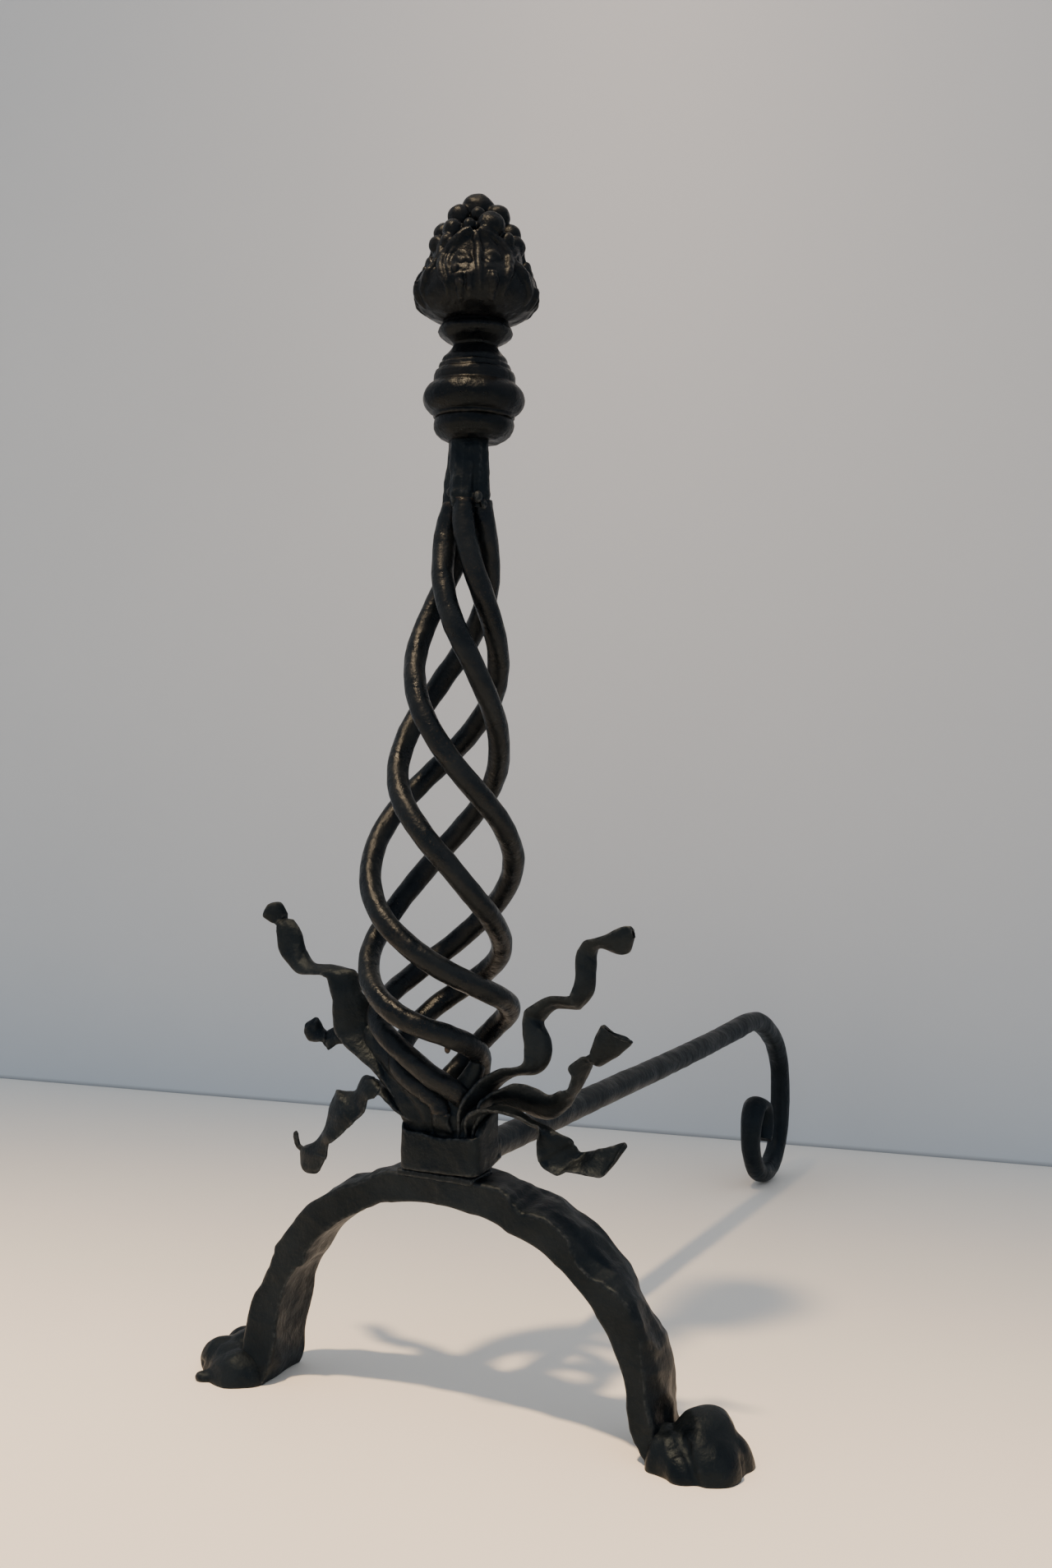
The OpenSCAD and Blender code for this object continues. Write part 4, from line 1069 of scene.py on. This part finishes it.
blob(bud, Vector((-0.2, 0, TOP_Z - 7.6)), (8.2, 8.0, 7.6))
for across, near, z, size in BEADS:
    size *= BEAD_SWELL
    blob(bud, facing_camera(across, near, z), (size, size, size * 1.08))
# Grains of the solder that holds the cup to the ring below
GRAINS = 70
for i in range(GRAINS):
    turned = 2 * pi * i / GRAINS + 0.3 * wave(i * 1.7, 0, 0)
    out = 15.9 + 1.2 * wave(i * 2.1, 4, 0)
    size = 0.55 + 0.5 * abs(wave(i * 3.3, 8, 0))
    high = FINIAL_Z + 1 + 1.6 * wave(i * 1.3, 2, 0)
    blob(bud, (out * cos(turned), out * sin(turned), max(high, FINIAL_Z + size)),
         (size, size, size))
bud = melted(bud, 0.45, 6)
hammered(bud, 4.0, 0.3, 0.5, 6.0)
for vert in bud.verts:
    vert.co.z = limit(vert.co.z, FINIAL_Z, TOP_Z)
    vert.co += ASIDE
finished("finial_bud", bud, BRONZED, "finial", slot="bronzed_casting")

# The stud is as the CAD makes it, hidden in the castings, with a thread in its paint
steel, nodes, links, shader, place = paint("stud_steel")
thread = nodes.new("ShaderNodeTexWave")
thread.bands_direction = "Z"
thread.inputs["Scale"].default_value = 250.0
links.new(place, thread.inputs["Vector"])
links.new(ramp(nodes, links, mottle(nodes, links, place, 300.0), (0.3, 0.22), (0.7, 0.4)),
          shader.inputs["Base Color"])
links.new(ramp(nodes, links, mottle(nodes, links, place, 200.0), (0.3, 0.3), (0.7, 0.5)),
          shader.inputs["Roughness"])
shader.inputs["Metallic"].default_value = 1.0
bump(nodes, links, shader, thread.outputs["Fac"], 0.6, 0.0004)
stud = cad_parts["finial_stud"].data
stud.materials.clear()
stud.materials.append(steel)


# ---------- the leaves ----------
# Six flames cut from flat strips of wrought iron, drawn out thin at the edges, twisted and curled
# while hot. Their roots are packed between the stem's root and the cheeks of the collar.

LEAF_T = 1.9


def leaf(name, node, rows, channel):
    """Strip between two edges, hollowed along its middle. A row is one edge, then the other."""
    def shape(share, turn):
        row = smooth(rows, share)
        back, front = smooth(rows, share - 0.004), smooth(rows, share + 0.004)
        one, two = Vector(row[:3]), Vector(row[3:])
        along = (Vector(front[:3]) + Vector(front[3:]) - Vector(back[:3]) - Vector(back[3:]))
        width, wide = (two - one).length, (two - one).normalized()
        thin = along.cross(wide).normalized()
        end = max(share - 0.975, 0) / 0.025
        half = width / 2 * max(1 - end * end, 0.02) ** 0.5
        half *= 1 + 0.05 * wave(share * 30, 3, len(name))
        a, b = rounded(turn, LEAF_T / 2, half, min(LEAF_T / 2, half) * 0.96)
        part = b / half
        free = limit((share - 0.14) / 0.1) * min(half / 4, 1)
        a = a * (1 - 0.35 * free * part * part)
        a += free * channel * (part * part - 0.4) + free * 0.5 * exp(-(part / 0.16) ** 2)
        a += 0.5 * free * wave(share * 22, part * 1.2, len(name))
        return (one + two) / 2 + b * wide + a * thin
    mesh = swept(340, 48, shape)
    hammered(mesh, 6.0, 0.2)
    finished(name, mesh, IRON, node)


leaf("flame_left_upper", "leaf_left_upper", [
    (-12, -7, 122, -12, 5, 122), (-12, -7, 139.5, -12, 3.5, 139.5),
    (-15.5, -8, 147, -15.5, 3.5, 146.5), (-27.5, -8, 149.5, -17, 6, 150.5),
    (-33.8, -8, 156.2, -21, 5.5, 158.6), (-39.6, -8, 161.5, -25.2, 5, 163.5),
    (-49.1, -8, 167.5, -33, 5, 169.5), (-58.6, -8, 173.5, -43.4, 4, 177),
    (-64.1, -8, 180, -46.4, 3, 183), (-65.1, -8, 191.5, -49, 0, 194),
    (-66.1, -8, 196.5, -52.6, -1, 199), (-69.6, -7, 204, -55.6, -1, 208),
    (-72.1, -7, 206, -61.1, 0, 210), (-74.1, -7, 207, -69.6, 2, 210),
    (-78.6, -7, 206.5, -82.1, 3, 210.5), (-86.1, -7, 206, -86.6, 1, 216),
    (-91.6, -6, 208, -87.6, 0, 219), (-99.6, -5, 215, -90.1, 0, 225.5),
    (-102.6, -4, 224.5, -95.1, 1, 231), (-102.6, -4, 227.5, -98.6, 3, 231.5),
    (-103.6, -3, 229, -100.6, 4, 231.5), (-106.6, -3, 229.5, -100.6, 3, 234.5),
    (-110.1, -5, 232.5, -103.6, 1, 239.5), (-110.1, -4, 236, -108.1, -1, 239.5)], 1.5)
leaf("flame_left_middle", "leaf_left_middle", [
    (-14, 0, 122, -14, 7, 122), (-14, 0, 138.5, -14, 6.5, 138.5),
    (-16, 4.5, 143, -16, 10.5, 144), (-19.5, 7, 147, -19, 14, 147),
    (-31.2, 7.5, 147.7, -30.2, 14.5, 149.2), (-43.9, 5, 155.8, -41.4, 13.5, 157.8),
    (-55.4, 5, 164.3, -53.4, 12, 168.8), (-63.4, 5, 169.3, -62.9, 11, 174.8),
    (-66.9, 5, 170.8, -67.4, 10, 176.8), (-71.4, 5, 169.8, -73.4, 9, 178.3),
    (-74.4, 3, 167.3, -78.4, 10, 176.3), (-76.9, 4, 168.8, -80.4, 11, 175.3),
    (-78.4, 4, 170.8, -81.9, 11, 176.3), (-86.4, 5, 169.8, -83.4, 8, 180.8),
    (-90.4, 5, 173.3, -85.9, 8, 181.8), (-90.4, 6, 177.3, -89.9, 8, 178.3)], 1.0)
leaf("flame_left_lower", "leaf_left_lower", [
    (-16.5, -7, 122, -16.5, 7, 122), (-16.5, -7, 138, -16.5, 7, 138),
    (-19, -9, 140.5, -17.5, 3, 145), (-26.5, -10, 144.5, -27.5, 3, 151.5),
    (-31.5, -10.5, 149, -33.5, 3, 154.4), (-35.5, -10, 152.1, -40.5, 2, 155.1),
    (-38, -9, 150.6, -41.5, -3, 157.6), (-40.5, -9, 149.1, -44, -4, 158.6),
    (-44, -9, 147.6, -51.5, -1, 157.6), (-45.5, -9, 142.6, -55.5, 0, 150.6),
    (-47, -9, 140.1, -60, 1, 149.1), (-51.5, -10, 135.6, -65, -1, 149.1),
    (-54, -10, 133.1, -67.5, -1, 148.1), (-59, -10, 128.6, -70, -1, 141.6),
    (-64, -10, 124.6, -73, 0, 131.6), (-67, -8, 122.6, -79, 2, 122.1),
    (-67.5, -8, 117.6, -87.5, 3, 117.6), (-68.5, -8, 114.6, -89.5, 2, 116.1),
    (-72, -7, 109.1, -89, 1, 109.1), (-74.5, -6, 107.1, -86, 0, 106.1),
    (-77, -5, 106.1, -82, -2, 105.6)], 1.9)
# The lower leaf on the left ends in a small hook beside its hollow tip
leaf("flame_left_lower_hook", "leaf_left_lower", [
    (-77, 4, 115.5, -79, 5, 112), (-82, 3, 116.6, -83, 4, 113), (-86.5, 2, 117, -87.5, 3, 113.8),
    (-88.8, 1.5, 118.2, -91.4, 2.5, 116.4), (-89.4, 1, 121, -92.8, 2, 120.6),
    (-90, 1, 123.6, -93, 2, 123), (-91.2, 1, 124.4, -92.4, 1.5, 124.2)], 0.6)
leaf("flame_right_upper", "leaf_right_upper", [
    (6.5, -8, 122, 9, 0, 122), (6.5, -8, 138, 9, 0, 138), (8, -11, 147, 10.5, -2, 145.5),
    (10.6, -12, 154, 13.5, -1.5, 150.5), (14.4, -9, 160.1, 17.4, 1, 153.6),
    (18.4, -8, 164.2, 20.9, 2, 156.7), (27.9, -8, 169.7, 27.9, 2, 163.2),
    (34.4, -8, 170.7, 32.4, 3, 165.7), (40.4, -8, 174.2, 43.9, 1, 168.2),
    (39.9, -7, 181.2, 50.9, -1, 175.2), (38.9, -7, 189.2, 51.4, -1, 184.7),
    (39.4, -7, 195.7, 46.9, 1, 191.7), (42.4, -8, 199.7, 47.4, 2, 194.2),
    (51.9, -8, 205.2, 52.9, 3, 199.2), (61.4, -8, 206.2, 62.9, 2, 199.7),
    (63.9, -8, 208.2, 66.4, 1, 201.7), (65.4, -7, 216.7, 71.9, 0, 208.7),
    (65.4, -7, 225.7, 72.9, 0, 219.2), (66.9, -7, 229.7, 72.9, 0, 224.7),
    (70.4, -8, 232.7, 72.9, 1, 227.2), (75.4, -8, 234.2, 73.9, 2, 228.7),
    (81.4, -7, 237.2, 82.9, -1, 227.2), (86.4, -6, 240.2, 88.9, -1, 228.2),
    (90.9, -5, 240.7, 91.4, -2, 233.7), (91.4, -4, 238.7, 91.9, -3, 236.2)], 1.6)
leaf("flame_right_middle", "leaf_right_middle", [
    (14, -7, 122, 14, 7, 122), (14, -7, 138, 14, 7, 138), (17, -8.5, 146, 16.5, 4, 145),
    (18, -9, 153, 18, 3.5, 147), (21.4, -6, 156.6, 18.4, 6, 148.6),
    (25.9, -6, 159.2, 24.9, 5, 149.7), (35.4, -7, 163.7, 35.9, 3, 148.7),
    (44.4, -7, 163.2, 45.4, 2, 146.7), (53.4, -7.5, 160.7, 53.4, 1.5, 148.7),
    (59.4, -9, 163.2, 60.4, 1, 154.2), (61.9, -8, 163.7, 61.9, 2, 157.2),
    (63.9, -7, 165.2, 62.4, 4, 159.7), (64.9, -7, 170.2, 67.4, 3, 166.7),
    (63.9, -9, 174.7, 70.9, 2, 173.2), (68.4, -7, 178.7, 71.4, 3, 175.7),
    (71.9, -7, 180.2, 72.9, 3, 175.7), (73.4, -7, 182.7, 75.9, 1, 175.2),
    (75.9, -8, 189.2, 84.4, -1, 180.7), (78.9, -8, 195.2, 90.9, -1, 186.7),
    (80.4, -7, 194.2, 91.4, -2, 188.2), (83.4, -6, 192.2, 89.4, -3, 190.7)], 1.5)
leaf("flame_right_lower", "leaf_right_lower", [
    (10.5, -8.2, 122, 13, -3, 122), (10.5, -8.2, 137.5, 13, -3, 137.5),
    (11.5, -11, 144, 14.5, -6.5, 142.5), (15, -14, 148.6, 17.5, -10, 146.6),
    (20.3, -15, 151, 21, -8, 149.6), (26.2, -15.5, 151.6, 22.2, -3, 150.8),
    (31.4, -16.5, 151.6, 25.9, -4.5, 152.6), (41.4, -18.5, 151.6, 35.9, -4.5, 151.1),
    (49.9, -19.5, 149.1, 45.9, -6.5, 147.6), (53.9, -19.5, 147.6, 50.9, -7.5, 146.6),
    (51.4, -15.5, 140.6, 59.9, -8.5, 144.6), (51.4, -14, 134.1, 65.4, -7, 142.6),
    (52.9, -13, 130.1, 66.9, -6, 139.6), (60.4, -13, 126.1, 69.4, -5, 136.6),
    (65.4, -13, 128.1, 73.4, -4, 136.6), (74.9, -13, 128.1, 78.9, -6, 139.1),
    (83.4, -13, 128.6, 84.9, -6, 141.1), (88.4, -12, 134.1, 89.4, -6, 143.1),
    (91.9, -10, 141.6, 93.4, -8, 144.6)], 1.3)


# ---------- sizes ----------
# The space that the CAD part takes up, and the space that the finished pieces take up, in metres

low, high = cad_bounds
